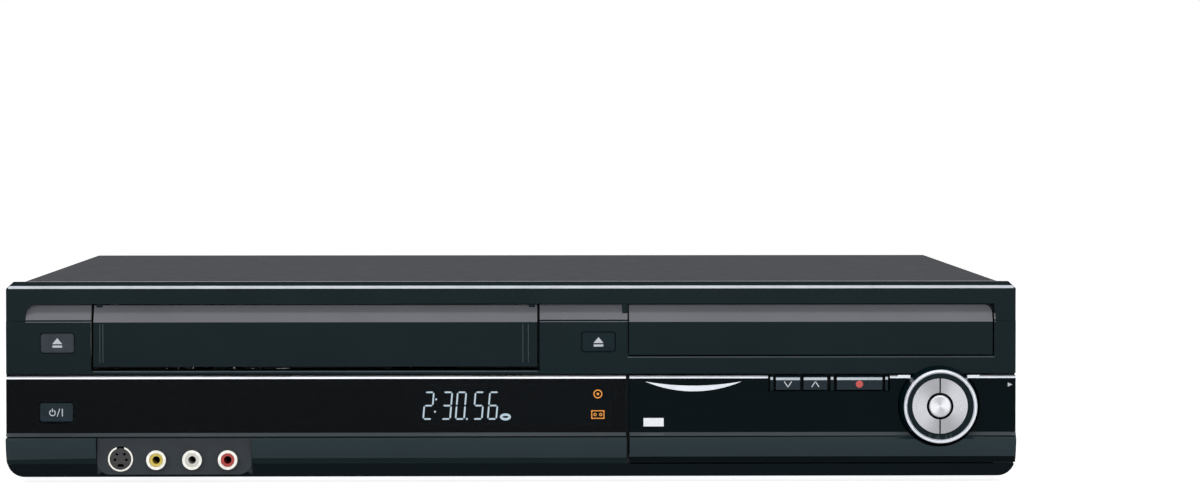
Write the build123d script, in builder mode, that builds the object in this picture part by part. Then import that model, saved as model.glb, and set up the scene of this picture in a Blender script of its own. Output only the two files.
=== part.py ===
from build123d import *
import os
from math import acos, atan2, cos, degrees, hypot, pi, radians, sin

os.makedirs("parts", exist_ok=True)

# DVD and VHS combination player. Millimetres, +X to the viewer's right, +Y from the front panel
# to the rear, +Z up. The origin is on the table, under the middle of the player.

# ---------------------------------------------------------------- driving dimensions
panel_width = 430.0          # moulded front panel
case_width = 419.6           # folded steel top cover, outside
case_length = 330.0          # top cover, front edge to rear edge
top_height = 85.7            # table to the top of the cover
foot_height = 3.0            # table to the underside of the chassis
sheet = 1.0                  # steel sheet of cover, chassis and rear panel
wall = 2.2                   # moulded walls
play = 0.3                   # gap round a piece that moves
fit = 0.05                   # radial running clearance of a pin or shaft

control_proud = 6.0          # control ring in front of the lip
lip_to_case = 9.0            # lip to the front edge of the cover
socket_reach = 9.0           # aerial sockets behind the rear edge of the cover

overall_depth = control_proud + lip_to_case + case_length + socket_reach
lip_y = -overall_depth / 2 + control_proud
case_y = lip_y + lip_to_case
rear_y = case_y + case_length

# Front panel, side view: levels above the table and set-backs behind the lip.
panel_bottom = 2.5
strip_top = 7.7              # plain strip along the bottom
lip_bottom = 8.3
lip_top = 19.4
window_bottom = 20.0         # foot of the upward-facing bevel
bevel_top = 21.4
window_top = 44.4
trim_top = 45.7              # bright line over the window and the door
middle_bottom = 46.4
ramp_bottom = 68.5
ramp_top = 75.8
band_bottom = 76.3           # underside of the upper band, over the scoop
line_bottom = 82.8           # bright line near the top
line_top = 84.0

strip_y = lip_y + 5.0
lip_foot_y = lip_y + 4.3
middle_y = lip_y + 3.3
band_y = lip_y + 3.9
ramp_y = middle_y + 4.5      # top of the ramp, leaning back
window_y = lip_y + 3.0
bevel_y = lip_y + 1.2
window_thickness = 2.4
window_seat_y = window_y + window_thickness
tongue_y = case_y + 7.0      # the moulding's sleeve inside the cover
bay_y = lip_y + 12.0         # floor of the bay behind the drop-down door
sleeve_half = case_width / 2 - sheet - 0.2
inner_half = sleeve_half - wall
panel_half = panel_width / 2
scoop_left = -206.7
scoop_right = 206.5
scoop_radius = 5.0
corner_radius = 7.5          # lower corners of the panel
corner_chamfer = 3.0         # upper corners of the panel

# VHS side.
deck_x = -83.6               # middle of the cassette door
door_width = 188.6
door_bottom = 49.6
slot_bottom = 47.9
sill = 1.6                   # floor of the cassette slot
door_gap = 1.1               # at each end of the cassette door
door_pivot_y = lip_y + 8.0
door_pivot_z = 80.0

# Disc side.
tray_x = 127.5
tray_front_width = 155.2
tray_front_bottom = 54.5
tray_gap = 0.7
tray_width = 130.0
tray_travel = 142.0
disc_radius = 60.0

# Drop-down door.
split_x = 48.75              # right end of the window
bay_door_left = 50.05
hinge_y = lip_y + 5.4        # inside the foot of the door, so that it swings clear of the strip
hinge_z = 11.2

# Controls.
key_travel = 0.8
button_width = 14.2
button_height = 8.2
button_reach = 0.7           # button faces in front of the panel
eject_at = (-193.2, 59.7)
open_at = (36.8, 60.0)
power_at = (-193.6, 30.2)
dial_at = (182.1, 32.8)
dial_ring_radius = 15.6
dial_ring_inner = 14.15
dial_well_radius = 11.8      # the two half-ring keys fill this
dial_cap_radius = 4.9
dial_flare_radius = 17.0
key_row_bottom = 39.1
key_row_top = trim_top - 0.3
key_notch = (109.1, 161.2)   # left and right end of the notch in the door
key_spans = {"channel_down": (112.2, 123.1), "channel_up": (124.0, 134.7), "record": (138.2, 158.3)}
key_posts = ((110.1, 111.3), (135.9, 137.1), (159.2, 160.4))

stem_radius = 1.6            # round stems of the keys, to their switches
dub_stem_x = 8.6
switch_height = 3.2
low_switch_height = 2.2      # behind the power button
switch_half = 3.0

# Sockets behind the drop-down door.
card_x = (76.0, 101.0)
card_z = (26.0, 29.2)
data_x = (58.0, 71.0)
data_z = (20.0, 26.0)

# Front sockets.
jack_plate_left = -176.6
jack_plate_right = -110.9
jack_plate_bottom = 3.6
jack_plate_top = 19.1
jack_plate_y = lip_y + 4.2
jack_height = 10.3
s_video_x = -166.6
phono_xs = {"yellow": -151.0, "white": -135.8, "red": -120.7}
phono_radius = 4.15
phono_bore = 1.66
phono_insert_radius = 2.9
phono_reach = 7.2
phono_neck_radius = 3.5      # behind the plug's seat, where the plate holds the socket
phono_seat = 0.2             # the plug's seat ends this far in front of the plate
jack_plate_back = jack_plate_y + 2.6
jack_body = 4.0              # socket bodies behind the plate
s_video_radius = 5.3
s_video_inner = 4.6


# ---------------------------------------------------------------- sketch planes and plain cuts
def facing(y):
    """Plane at depth y towards the viewer: sketch x is X, sketch y is Z, extrude goes forward."""
    return Plane.XZ.offset(-y)


def across(x):
    """Plane across the player at x: sketch x is Y, sketch y is Z, extrude goes to the right."""
    return Plane.YZ.offset(x)


def level(z):
    """Horizontal plane at height z."""
    return Plane.XY.offset(z)


def slab(x, y, z, mode=Mode.ADD, corner=0.0):
    """Block between two limits in x, y and z, with its four corners in plan rounded."""
    with BuildSketch(level(z[0])) as outline:
        with Locations(((x[0] + x[1]) / 2, (y[0] + y[1]) / 2)):
            if corner:
                RectangleRounded(x[1] - x[0], y[1] - y[0], corner)
            else:
                Rectangle(x[1] - x[0], y[1] - y[0])
    extrude(outline.sketch, amount=z[1] - z[0], mode=mode)


def plate(x, z, y, mode=Mode.ADD, corner=0.0):
    """Upright block facing the viewer, with its four corners in front view rounded."""
    with BuildSketch(facing(y[0])) as outline:
        with Locations(((x[0] + x[1]) / 2, (z[0] + z[1]) / 2)):
            if corner:
                RectangleRounded(x[1] - x[0], z[1] - z[0], corner)
            else:
                Rectangle(x[1] - x[0], z[1] - z[0])
    extrude(outline.sketch, amount=y[0] - y[1], mode=mode)


def post(x, y, radius, z, mode=Mode.ADD):
    """Upright round post, or hole, at x and y from height z[0] to z[1]."""
    with BuildSketch(level(z[0])) as outline:
        with Locations((x, y)):
            Circle(radius)
    extrude(outline.sketch, amount=z[1] - z[0], mode=mode)


def barrel(x, z, radius, y, mode=Mode.ADD):
    """Round bar, or hole, that lies along Y from y[0] to y[1]."""
    with BuildSketch(facing(y[0])) as outline:
        with Locations((x, z)):
            Circle(radius)
    extrude(outline.sketch, amount=y[0] - y[1], mode=mode)


def prism(x, points, mode=Mode.ADD):
    """Side-view polygon of (y, z) points, pulled from x[0] to x[1]."""
    with BuildSketch(across(x[0])) as outline:
        with BuildLine():
            Polyline(*points, close=True)
        make_face()
    extrude(outline.sketch, amount=x[1] - x[0], mode=mode)


# ---------------------------------------------------------------- front panel moulding
door_left = deck_x - door_width / 2
door_right = deck_x + door_width / 2
slot = (door_left - door_gap, door_right + door_gap)
tray_front_left = tray_x - tray_front_width / 2
tray_front_right = tray_x + tray_front_width / 2
tray_recess = (tray_front_left - tray_gap, tray_front_right + tray_gap)
tray_recess_y = ramp_y + wall + 0.7
tray_slot = (tray_x - tray_width / 2 - 2.0, tray_x + tray_width / 2 + 2.0)
tray_slot_z = (tray_front_bottom + 0.1, 68.4)
display_opening = ((-46.0, 44.0), (24.0, 42.5))
door_pin_radius = 1.2
bay_pin_radius = 0.9
bay_ribs = (bay_door_left, 203.5)      # left faces of the door's two hinge ribs
bay_rib = 1.8
finger_width = 2.4
finger_tip_radius = 1.0
door_fingers = [(x + bay_rib + play, x + bay_rib + play + finger_width) for x in bay_ribs]
flange_x = 206.0                       # the bay is shallow to the right of this
inner_top = top_height - sheet - 0.2 - wall
cover_radius = 2.5                     # bends of the cover, at mid sheet
sleeve_corner = cover_radius - sheet / 2

with BuildPart() as front_bezel:
    # Solid panel in side view, from the lip back to the cover.
    with BuildSketch(across(-panel_half)):
        with BuildLine():
            Polyline(
                (lip_foot_y, lip_bottom),
                (strip_y, strip_top),
                (strip_y + 0.6, panel_bottom),
                (case_y, panel_bottom),
                (case_y, top_height),
                (band_y + 1.6, top_height),
                (band_y, line_top),
                (band_y, ramp_bottom + 0.7),
                (middle_y, ramp_bottom + 0.1),
                (middle_y, middle_bottom),
                (window_seat_y, middle_bottom),
                (window_seat_y, lip_top),
                (lip_y + 0.8, lip_top),
                (lip_y, lip_top - 0.8),
            )
            ThreePointArc((lip_y, lip_top - 0.8), (lip_y + 1.5, 13.2), (lip_foot_y, lip_bottom))
        make_face()
    extrude(amount=panel_width)
    # Sleeve inside the cover.
    plate(
        (-sleeve_half, sleeve_half), (foot_height + sheet + 0.2, inner_top + wall),
        (case_y - 2.0, tongue_y), corner=sleeve_corner,
    )
    # Corners in front view.
    lower = front_bezel.edges().filter_by(Axis.Y).group_by(Axis.Z)[0]
    fillet(lower.filter_by_position(Axis.Z, panel_bottom - 0.1, panel_bottom + 0.1), corner_radius)
    upper = front_bezel.edges().filter_by(Axis.Y).filter_by_position(
        Axis.Z, top_height - 0.01, top_height + 0.01
    )
    chamfer(upper, corner_chamfer)
    # Hollow it out, one wall behind the outer surface.
    prism(
        (-inner_half, inner_half),
        (
            (tongue_y, inner_top),
            (band_y + wall, inner_top),
            (band_y + wall, band_bottom + wall),
            (ramp_y + wall, band_bottom + wall),
            (ramp_y + wall, ramp_top - 0.6),
            (middle_y + wall, ramp_bottom - 0.6),
            (middle_y + wall, middle_bottom + wall),
            (window_seat_y + wall, middle_bottom + wall),
            (window_seat_y + wall, 13.0),
            (strip_y + 3.0, 7.6),
            (strip_y + 3.0, foot_height + sheet + 0.2 + wall),
            (tongue_y, foot_height + sheet + 0.2 + wall),
        ),
        mode=Mode.SUBTRACT,
    )
    # Scoop: the ramp leans back under the upper band.
    with BuildPart(mode=Mode.PRIVATE) as scoop:
        prism(
            (scoop_left, scoop_right),
            (
                (lip_y - 1, ramp_bottom),
                (middle_y, ramp_bottom),
                (ramp_y, ramp_top),
                (ramp_y, band_bottom),
                (lip_y - 1, band_bottom),
            ),
        )
        fillet(
            scoop.edges().filter_by(Axis.Y).filter_by_position(
                Axis.Z, band_bottom - 0.01, band_bottom + 0.01
            ),
            scoop_radius,
        )
    add(scoop.part, mode=Mode.SUBTRACT)
    # Frame behind the tray front, with the slot that the tray runs through.
    tray_frame = (tray_recess[0] - wall, tray_recess[1] + wall)
    slab(
        (tray_frame[0], min(tray_frame[1], inner_half)),
        (middle_y + wall, tray_recess_y + wall),
        (tray_front_bottom - 0.6 - wall, band_bottom + wall),
    )
    plate(tray_recess, (tray_front_bottom - 0.6, band_bottom), (lip_y - 1, tray_recess_y), Mode.SUBTRACT)
    plate(tray_slot, tray_slot_z, (lip_y, tongue_y), Mode.SUBTRACT)
    # Cassette slot, and the room behind the upper band for the cassette door's arms.
    plate(slot, (slot_bottom, band_bottom), (lip_y - 1, tongue_y), Mode.SUBTRACT)
    plate(slot, (ramp_bottom, inner_top), (band_y + wall, tongue_y), Mode.SUBTRACT)
    # Floor of the cassette slot.
    plate(slot, (slot_bottom - sill, slot_bottom), (window_seat_y, tongue_y))
    for ear in ((slot[0] - wall, slot[0]), (slot[1], slot[1] + wall)):
        plate(ear, (door_pivot_z - 4.0, inner_top), (band_y + wall, door_pivot_y + 4.0))
    with BuildSketch(across(slot[0] - wall)):
        with Locations((door_pivot_y, door_pivot_z)):
            Circle(door_pin_radius + fit)
    extrude(amount=slot[1] - slot[0] + 2 * wall, mode=Mode.SUBTRACT)
    # Bay behind the drop-down door.
    slab(
        (split_x - wall, inner_half), (middle_y + wall, bay_y + wall),
        (strip_top - wall, middle_bottom + wall),
    )
    plate((split_x, flange_x), (strip_top, middle_bottom), (lip_y - 1, bay_y), Mode.SUBTRACT)
    plate((flange_x - 1, panel_half + 1), (strip_top, middle_bottom), (lip_y - 1, lip_y + 7.4), Mode.SUBTRACT)
    foot_sweep = hinge_y + 2.9 + play      # the door's foot swings back to here
    plate((flange_x - 1, panel_half + 1), (strip_top, 13.5), (lip_y - 1, foot_sweep), Mode.SUBTRACT)
    # Fingers that carry the door's hinge pins, reaching forward and down from the bay's floor.
    for finger in door_fingers:
        prism(
            finger,
            (
                (hinge_y - 0.6, hinge_z + 0.6),
                (hinge_y + 0.6, hinge_z - 0.6),
                (hinge_y + 2.7, hinge_z + 1.5),
                (bay_y + 0.1, hinge_z + 2.6),
                (bay_y + 0.1, hinge_z + 6.5),
                (hinge_y + 1.4, hinge_z + 2.9),
            ),
        )
        with BuildSketch(across(finger[0] - play - bay_rib - 0.2)):
            with Locations((hinge_y, hinge_z)):
                Circle(bay_pin_radius)
        extrude(amount=bay_rib + play + 0.4)
        with BuildSketch(across(finger[0])):
            with Locations((hinge_y, hinge_z)):
                Circle(finger_tip_radius)
        extrude(amount=finger[1] - finger[0])
    # Posts between the small keys, and the boss of the round control.
    for span in key_posts:
        plate(span, (key_row_bottom, key_row_top), (middle_y, bay_y + 0.1))
    with BuildSketch(Plane(origin=(dial_at[0], bay_y + wall, dial_at[1]), x_dir=(1, 0, 0), z_dir=(0, -1, 0))):
        Circle(dial_flare_radius)
    extrude(amount=bay_y + wall - window_y)
    with BuildSketch(facing(window_y)):
        with Locations(dial_at):
            Circle(dial_flare_radius)
    extrude(amount=window_y - (lip_y - control_proud + 2.2), taper=12)
    barrel(*dial_at, dial_well_radius + play, (lip_y - control_proud, bay_y - 1.2), Mode.SUBTRACT)
    for stem_x in (-dub_stem_x, 0, dub_stem_x):
        barrel(
            dial_at[0] + stem_x, dial_at[1], stem_radius + play, (bay_y - 2, tongue_y), Mode.SUBTRACT,
        )
    # Openings for the display, the buttons and the jack plate.
    plate(*display_opening, (lip_y, tongue_y), Mode.SUBTRACT)
    plate(
        (jack_plate_left - 0.2, jack_plate_right + 0.2),
        (jack_plate_bottom - 0.2, jack_plate_top + 0.3),
        (lip_y - 1, jack_plate_back),
        Mode.SUBTRACT,
    )
    plate(
        (jack_plate_left + 2.0, jack_plate_right - 2.0),
        (jack_height - s_video_radius - 0.4, jack_plate_top - 2.0),
        (jack_plate_y, jack_plate_back + jack_body + 0.4),
        Mode.SUBTRACT,
    )
    for x, z in (eject_at, open_at, power_at):
        plate(
            (x - button_width / 2 - play, x + button_width / 2 + play),
            (z - button_height / 2 - play, z + button_height / 2 + play),
            (lip_y, window_seat_y + 2 * wall),
            Mode.SUBTRACT,
            corner=1.4,
        )
    # Card slot and data socket in the floor of the bay.
    for socket_x, socket_z in ((card_x, card_z), (data_x, data_z)):
        plate(
            (socket_x[0] - 0.1, socket_x[1] + 0.1), (socket_z[0] - 0.1, socket_z[1] + 0.1),
            (bay_y - 1, tongue_y), Mode.SUBTRACT, corner=0.6,
        )
    # Guide holes for the stems of the keys in the bay.
    for left, right in key_spans.values():
        middle = (left + right) / 2
        plate((middle - 2.3, middle + 2.3), (40.4, 43.6), (bay_y - 1, tongue_y), Mode.SUBTRACT)
front_bezel.part.label = "front_bezel"
export_step(front_bezel.part, "parts/front_bezel.step")

# ---------------------------------------------------------------- window, bright lines, jack plate
trim_reach = 0.5             # bright line in front of the band
trim_seat_y = window_y + 1.6
window_right = split_x - 0.3

with BuildPart() as display_window:
    prism(
        (-panel_half, window_right),
        (
            (window_y, window_top),
            (window_y, bevel_top),
            (bevel_y, window_bottom),
            (window_seat_y, window_bottom),
            (window_seat_y, middle_bottom - 0.2),
            (trim_seat_y, middle_bottom - 0.2),
            (trim_seat_y, window_top),
        ),
    )
    plate(
        (power_at[0] - button_width / 2 - play, power_at[0] + button_width / 2 + play),
        (power_at[1] - button_height / 2 - play, power_at[1] + button_height / 2 + play),
        (lip_y, window_seat_y),
        Mode.SUBTRACT,
        corner=1.4,
    )
display_window.part.label = "display_window"
export_step(display_window.part, "parts/display_window.step")


def trim_section(front_y):
    """Bright line with a sloped top, in side view, seated against the step behind it."""
    return (
        (front_y - 0.1, window_top),
        (front_y - 0.1, trim_top - 0.6),
        (front_y + 0.6, trim_top),
        (trim_seat_y, trim_top),
        (trim_seat_y, window_top),
    )


with BuildPart() as trim_lines:
    plate((-panel_half + 1, panel_half - 1), (line_bottom, line_top), (band_y - trim_reach, band_y))
    prism((-panel_half, window_right), trim_section(window_y))
trim_lines.part.label = "trim_lines"
export_step(trim_lines.part, "parts/trim_lines.step")

with BuildPart() as front_jack_plate:
    plate(
        (jack_plate_left, jack_plate_right), (jack_plate_bottom, jack_plate_top),
        (jack_plate_y, jack_plate_back),
    )
    fillet(
        front_jack_plate.edges().filter_by(Axis.Y).group_by(Axis.Z)[0],
        5.5,
    )
    for x in phono_xs.values():
        barrel(x, jack_height, phono_neck_radius + fit, (jack_plate_y, jack_plate_back), Mode.SUBTRACT)
    barrel(s_video_x, jack_height, s_video_radius + fit, (jack_plate_y, jack_plate_back), Mode.SUBTRACT)
front_jack_plate.part.label = "front_jack_plate"
export_step(front_jack_plate.part, "parts/front_jack_plate.step")

# Rear sockets: two rows of three phono sockets for picture and sound, in and out.
panel_rear_y = rear_y - 1.0                  # outer face of the rear panel
panel_inner_y = panel_rear_y - sheet
rear_phono_z = {"yellow": 58.0, "white": 44.0, "red": 30.0}
rear_phono_xs = (-52.0, -36.0)
rear_s_video = (-18.0, 58.0)
aerial_zs = (52.0, 30.0)
aerial_x = 14.0
block_depth = 12.0
block_x = (rear_phono_xs[0] - 8.0, rear_s_video[0] + 8.0)
main_board_z = (8.5, 10.1)

with BuildPart() as socket_shells:
    for x in phono_xs.values():
        barrel(x, jack_height, phono_radius, (jack_plate_y - phono_reach, jack_plate_y - phono_seat))
        barrel(x, jack_height, phono_neck_radius, (jack_plate_y - phono_seat, jack_plate_back + jack_body))
    for x in rear_phono_xs:
        for z in rear_phono_z.values():
            barrel(x, z, phono_radius, (panel_inner_y, panel_rear_y + phono_reach))
    for x in phono_xs.values():
        barrel(
            x, jack_height, phono_insert_radius + fit,
            (jack_plate_y - phono_reach, jack_plate_back + jack_body), Mode.SUBTRACT,
        )
    for x in rear_phono_xs:
        for z in rear_phono_z.values():
            barrel(
                x, z, phono_insert_radius + fit,
                (panel_inner_y, panel_rear_y + phono_reach), Mode.SUBTRACT,
            )
    # The two S-video rings, each open at the top.
    for x, z, near, far in (
        (s_video_x, jack_height, jack_plate_y - 1.0, jack_plate_back + jack_body),
        (*rear_s_video, panel_inner_y, panel_rear_y + 1.0),
    ):
        barrel(x, z, s_video_radius, (near, far))
        barrel(x, z, s_video_inner, (near, far), Mode.SUBTRACT)
        plate((x - 1.6, x + 1.6), (z, z + s_video_radius + 1), (near, far), Mode.SUBTRACT)
socket_shells.part.label = "socket_shells"
export_step(socket_shells.part, "parts/socket_shells.step")

for colour, x in phono_xs.items():
    with BuildPart() as phono_insert:
        spans = [(x, jack_height, jack_plate_y - phono_reach + 0.8, jack_plate_back + jack_body)]
        for rear_x in rear_phono_xs:
            spans.append((rear_x, rear_phono_z[colour], panel_inner_y, panel_rear_y + phono_reach - 0.8))
        for insert_x, z, near, far in spans:
            barrel(insert_x, z, phono_insert_radius, (near, far))
            barrel(insert_x, z, phono_bore, (near, far), Mode.SUBTRACT)
    phono_insert.part.label = f"phono_insert_{colour}"
    export_step(phono_insert.part, f"parts/phono_insert_{colour}.step")

with BuildPart() as socket_bodies:
    slab(block_x, (panel_inner_y - block_depth, panel_inner_y), (main_board_z[1], 66.0))
    for x, z, near, far in (
        (s_video_x, jack_height, jack_plate_y, jack_plate_back + jack_body),
        (*rear_s_video, panel_inner_y - 2.0, panel_rear_y),
    ):
        barrel(x, z, s_video_inner - 0.1, (near, far))
        plate((x - 1.3, x + 1.3), (z - 3.4, z - 2.2), (near, far), Mode.SUBTRACT)
        for pin_x, pin_z in ((-2.4, -0.4), (2.4, -0.4), (-1.6, 2.0), (1.6, 2.0)):
            barrel(x + pin_x, z + pin_z, 0.6, (near, far), Mode.SUBTRACT)
socket_bodies.part.label = "socket_bodies"
export_step(socket_bodies.part, "parts/socket_bodies.step")

# ---------------------------------------------------------------- push buttons
collar_y = window_seat_y + wall             # back of the wall behind the buttons
board_y = lip_y + 12.4                      # front board behind the window, front face
board_thickness = 1.6
bay_board_y = bay_y + wall + switch_height + 0.2
bay_stem_y = bay_board_y - switch_height - key_travel - play
key_stem_z = (40.7, 43.3)


def push_button(x, z, panel_y, stop_y):
    """Rounded cap, a flange behind the wall that holds it in, and a stem to the switch."""
    plate(
        (x - button_width / 2, x + button_width / 2),
        (z - button_height / 2, z + button_height / 2),
        (panel_y - button_reach, stop_y + play),
        corner=1.2,
    )
    plate(
        (x - button_width / 2 - 1.0, x + button_width / 2 + 1.0),
        (z - button_height / 2 + 1.0, z + button_height / 2 - 1.0),
        (stop_y + play, stop_y + play + 1.0),
    )
    barrel(x, z, stem_radius, (stop_y + play, board_y - switch_height - key_travel - play))


for name, spot, panel_y, stop_y in (
    ("eject_button", eject_at, middle_y, middle_y + wall),
    ("open_close_button", open_at, middle_y, middle_y + wall),
    ("power_button", power_at, window_y, collar_y),
):
    with BuildPart() as button:
        push_button(*spot, panel_y, stop_y)
        chamfer(button.faces().sort_by(Axis.Y)[0].edges(), 0.4)
    button.part.label = name
    export_step(button.part, f"parts/{name}.step")

# ---------------------------------------------------------------- controls in the bay
key_face_y = window_y + 0.2
key_gap = 0.35

for name, (left, right) in key_spans.items():
    with BuildPart() as key:
        middle = (left + right) / 2
        prism(
            (left + key_gap, right - key_gap),
            (
                (key_face_y, key_row_bottom + key_gap),
                (key_face_y, key_row_top - 0.7),
                (key_face_y + 0.7, key_row_top),
                (key_face_y + 5.0, key_row_top),
                (key_face_y + 5.0, key_row_bottom + key_gap),
            ),
        )
        plate((middle - 2.0, middle + 2.0), key_stem_z, (key_face_y + 5.0, bay_stem_y))
        plate(
            (middle - 4.0, middle + 4.0), key_stem_z,
            (bay_y - key_travel - 2.2, bay_y - key_travel - 1.2),
        )
    key.part.label = f"{name}_key"
    export_step(key.part, f"parts/{name}_key.step")

dial_plane_y = lip_y - control_proud
ring_seat_y = dial_plane_y + 2.2
with BuildPart() as dial_ring:
    barrel(*dial_at, dial_ring_radius, (dial_plane_y, ring_seat_y))
    barrel(*dial_at, dial_ring_inner, (dial_plane_y, ring_seat_y), Mode.SUBTRACT)
    chamfer(dial_ring.faces().sort_by(Axis.Y)[0].edges(), 0.6)
dial_ring.part.label = "dial_ring"
export_step(dial_ring.part, "parts/dial_ring.step")

half_key_y = dial_plane_y + 3.2
for name, side in (("dub_left_key", -1), ("dub_right_key", 1)):
    with BuildPart() as half_key:
        barrel(*dial_at, dial_well_radius, (half_key_y, half_key_y + 4.0))
        barrel(*dial_at, dial_cap_radius + 0.8, (half_key_y, half_key_y + 4.0), Mode.SUBTRACT)
        seam = dial_at[0] + side * 0.3
        far_side = dial_at[0] - side * dial_flare_radius
        plate(
            (min(seam, far_side), max(seam, far_side)),
            (dial_at[1] - dial_flare_radius, dial_at[1] + dial_flare_radius),
            (half_key_y, half_key_y + 4.0),
            Mode.SUBTRACT,
        )
        barrel(dial_at[0] + side * dub_stem_x, dial_at[1], stem_radius, (half_key_y + 4.0, bay_stem_y))
    half_key.part.label = name
    export_step(half_key.part, f"parts/{name}.step")

with BuildPart() as dial_centre_key:
    barrel(*dial_at, dial_cap_radius, (half_key_y - 0.8, half_key_y + 5.0))
    barrel(*dial_at, stem_radius, (half_key_y + 5.0, bay_stem_y))
    fillet(dial_centre_key.faces().sort_by(Axis.Y)[0].edges(), 0.8)
dial_centre_key.part.label = "dial_centre_key"
export_step(dial_centre_key.part, "parts/dial_centre_key.step")

# ---------------------------------------------------------------- drop-down door
door_skin = 1.8
door_top = window_top
door_end = panel_half
notch_radius = dial_flare_radius + play + 0.2

with BuildPart() as front_door:
    with BuildSketch(across(bay_door_left)):
        with BuildLine():
            Polyline(
                (lip_foot_y, lip_bottom + 0.1),
                (lip_foot_y + door_skin, lip_bottom + 0.1),
                (lip_foot_y + door_skin, hinge_z + 0.6),
                (bevel_y + door_skin + 0.6, lip_top - 2.0),
                (window_y + door_skin, bevel_top),
                (window_y + door_skin, trim_top - 0.1),
                (trim_seat_y, trim_top - 0.1),
                (trim_seat_y, window_top),
                (window_y, window_top),
                (window_y, bevel_top),
                (bevel_y, window_bottom),
                (bevel_y + 0.4, window_bottom - 0.3),
                (bevel_y + 0.4, lip_top),
                (lip_y + 0.8, lip_top),
                (lip_y, lip_top - 0.8),
            )
            ThreePointArc((lip_y, lip_top - 0.8), (lip_y + 1.5, 13.2), (lip_foot_y, lip_bottom + 0.1))
        make_face()
    extrude(amount=door_end - bay_door_left)
    # Hinge ribs with their pin holes, rounded about the hinge line.
    for rib_x in bay_ribs:
        with BuildSketch(across(rib_x)) as rib:
            with Locations((hinge_y, hinge_z)):
                Circle(1.9)
            with BuildLine():
                Polyline(
                    (lip_foot_y + 0.6, hinge_z), (hinge_y + 1.9, hinge_z), (hinge_y + 1.9, 15.0),
                    (window_y + door_skin, bevel_top + 2.0), (bevel_y + 1.6, lip_top - 1.0),
                    close=True,
                )
            make_face()
        extrude(rib.sketch, amount=bay_rib)
        with BuildSketch(across(rib_x - 0.4)):
            with Locations((hinge_y, hinge_z)):
                Circle(bay_pin_radius + fit)
        extrude(amount=bay_rib + 0.8, mode=Mode.SUBTRACT)
    # Pockets in the back of the foot, in which the fingers turn.
    for finger in door_fingers:
        pocket = (finger[0] - play, finger[1] + play)
        prism(
            pocket,
            (
                (hinge_y - 0.3, hinge_z - 1.5),
                (hinge_y + 0.6, hinge_z - 2.3),
                (hinge_y + 2.5, hinge_z - 2.3),
                (hinge_y + 2.5, hinge_z + 2.8),
                (hinge_y + 0.7, hinge_z + 2.8),
                (hinge_y - 0.5, hinge_z + 1.5),
            ),
            mode=Mode.SUBTRACT,
        )
        with BuildSketch(across(pocket[0])):
            with Locations((hinge_y, hinge_z)):
                Circle(finger_tip_radius + 0.4)
        extrude(amount=pocket[1] - pocket[0], mode=Mode.SUBTRACT)
    # Notch for the row of keys, and the open-topped notch round the control.
    plate(
        (key_notch[0], key_notch[1]),
        (key_row_bottom - play, trim_top + 1),
        (lip_y - 1, lip_y + 9),
        Mode.SUBTRACT,
    )
    barrel(*dial_at, notch_radius, (lip_y - 1, lip_y + 9), Mode.SUBTRACT)
    plate(
        (dial_at[0] - notch_radius, dial_at[0] + notch_radius),
        (dial_at[1], trim_top + 1),
        (lip_y - 1, lip_y + 9),
        Mode.SUBTRACT,
    )
front_door.part.label = "front_door"
export_step(front_door.part, "parts/front_door.step")

crescent_tips = (56.7, 97.9)
crescent_z = 43.1
crescent_low = 38.9
crescent_upper = 41.3
with BuildPart() as door_trim:
    for left, right in (
        (bay_door_left, key_notch[0]),
        (key_notch[1], dial_at[0] - notch_radius),
        (dial_at[0] + notch_radius, door_end),
    ):
        prism((left, right), trim_section(window_y))
    with BuildSketch(facing(window_y)):
        with BuildLine():
            crescent_middle = sum(crescent_tips) / 2
            ThreePointArc(
                (crescent_tips[0], crescent_z), (crescent_middle, crescent_low),
                (crescent_tips[1], crescent_z),
            )
            ThreePointArc(
                (crescent_tips[1], crescent_z), (crescent_middle, crescent_upper),
                (crescent_tips[0], crescent_z),
            )
        make_face()
    extrude(amount=0.3)
door_trim.part.label = "door_trim"
export_step(door_trim.part, "parts/door_trim.step")

# ---------------------------------------------------------------- cassette door
skin = 2.0
arm_width = 2.5
arm_front_y = band_y + wall + play
arm_back_y = 2 * door_pivot_y - arm_front_y

with BuildPart() as cassette_door:
    prism(
        (door_left, door_right),
        (
            (middle_y, door_bottom),
            (middle_y, ramp_bottom),
            (ramp_y, ramp_top - 0.1),
            (ramp_y + skin, ramp_top - 0.1),
            (ramp_y + skin, ramp_top - 1.6),
            (middle_y + skin, ramp_bottom - 1.0),
            (middle_y + skin, door_bottom),
        ),
    )
    for arm_x in (door_left + 1.0, door_right - 1.0 - arm_width):
        prism(
            (arm_x, arm_x + arm_width),
            (
                (arm_front_y + 1.0, ramp_top - 2.0),
                (arm_front_y, band_bottom + 0.6),
                (arm_front_y, door_pivot_z),
                (arm_back_y, door_pivot_z),
                (arm_back_y, ramp_top - 4.0),
                (middle_y + skin, door_bottom + 6.0),
            ),
        )
        with BuildSketch(across(arm_x)):
            with Locations((door_pivot_y, door_pivot_z)):
                Circle(door_pivot_y - arm_front_y)
        extrude(amount=arm_width)
    for pin in ((slot[0] - wall + 0.2, door_left + 1.2), (door_right - 1.2, slot[1] + wall - 0.2)):
        with BuildSketch(across(pin[0])):
            with Locations((door_pivot_y, door_pivot_z)):
                Circle(door_pin_radius)
        extrude(amount=pin[1] - pin[0])
cassette_door.part.label = "cassette_door"
export_step(cassette_door.part, "parts/cassette_door.step")

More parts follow.
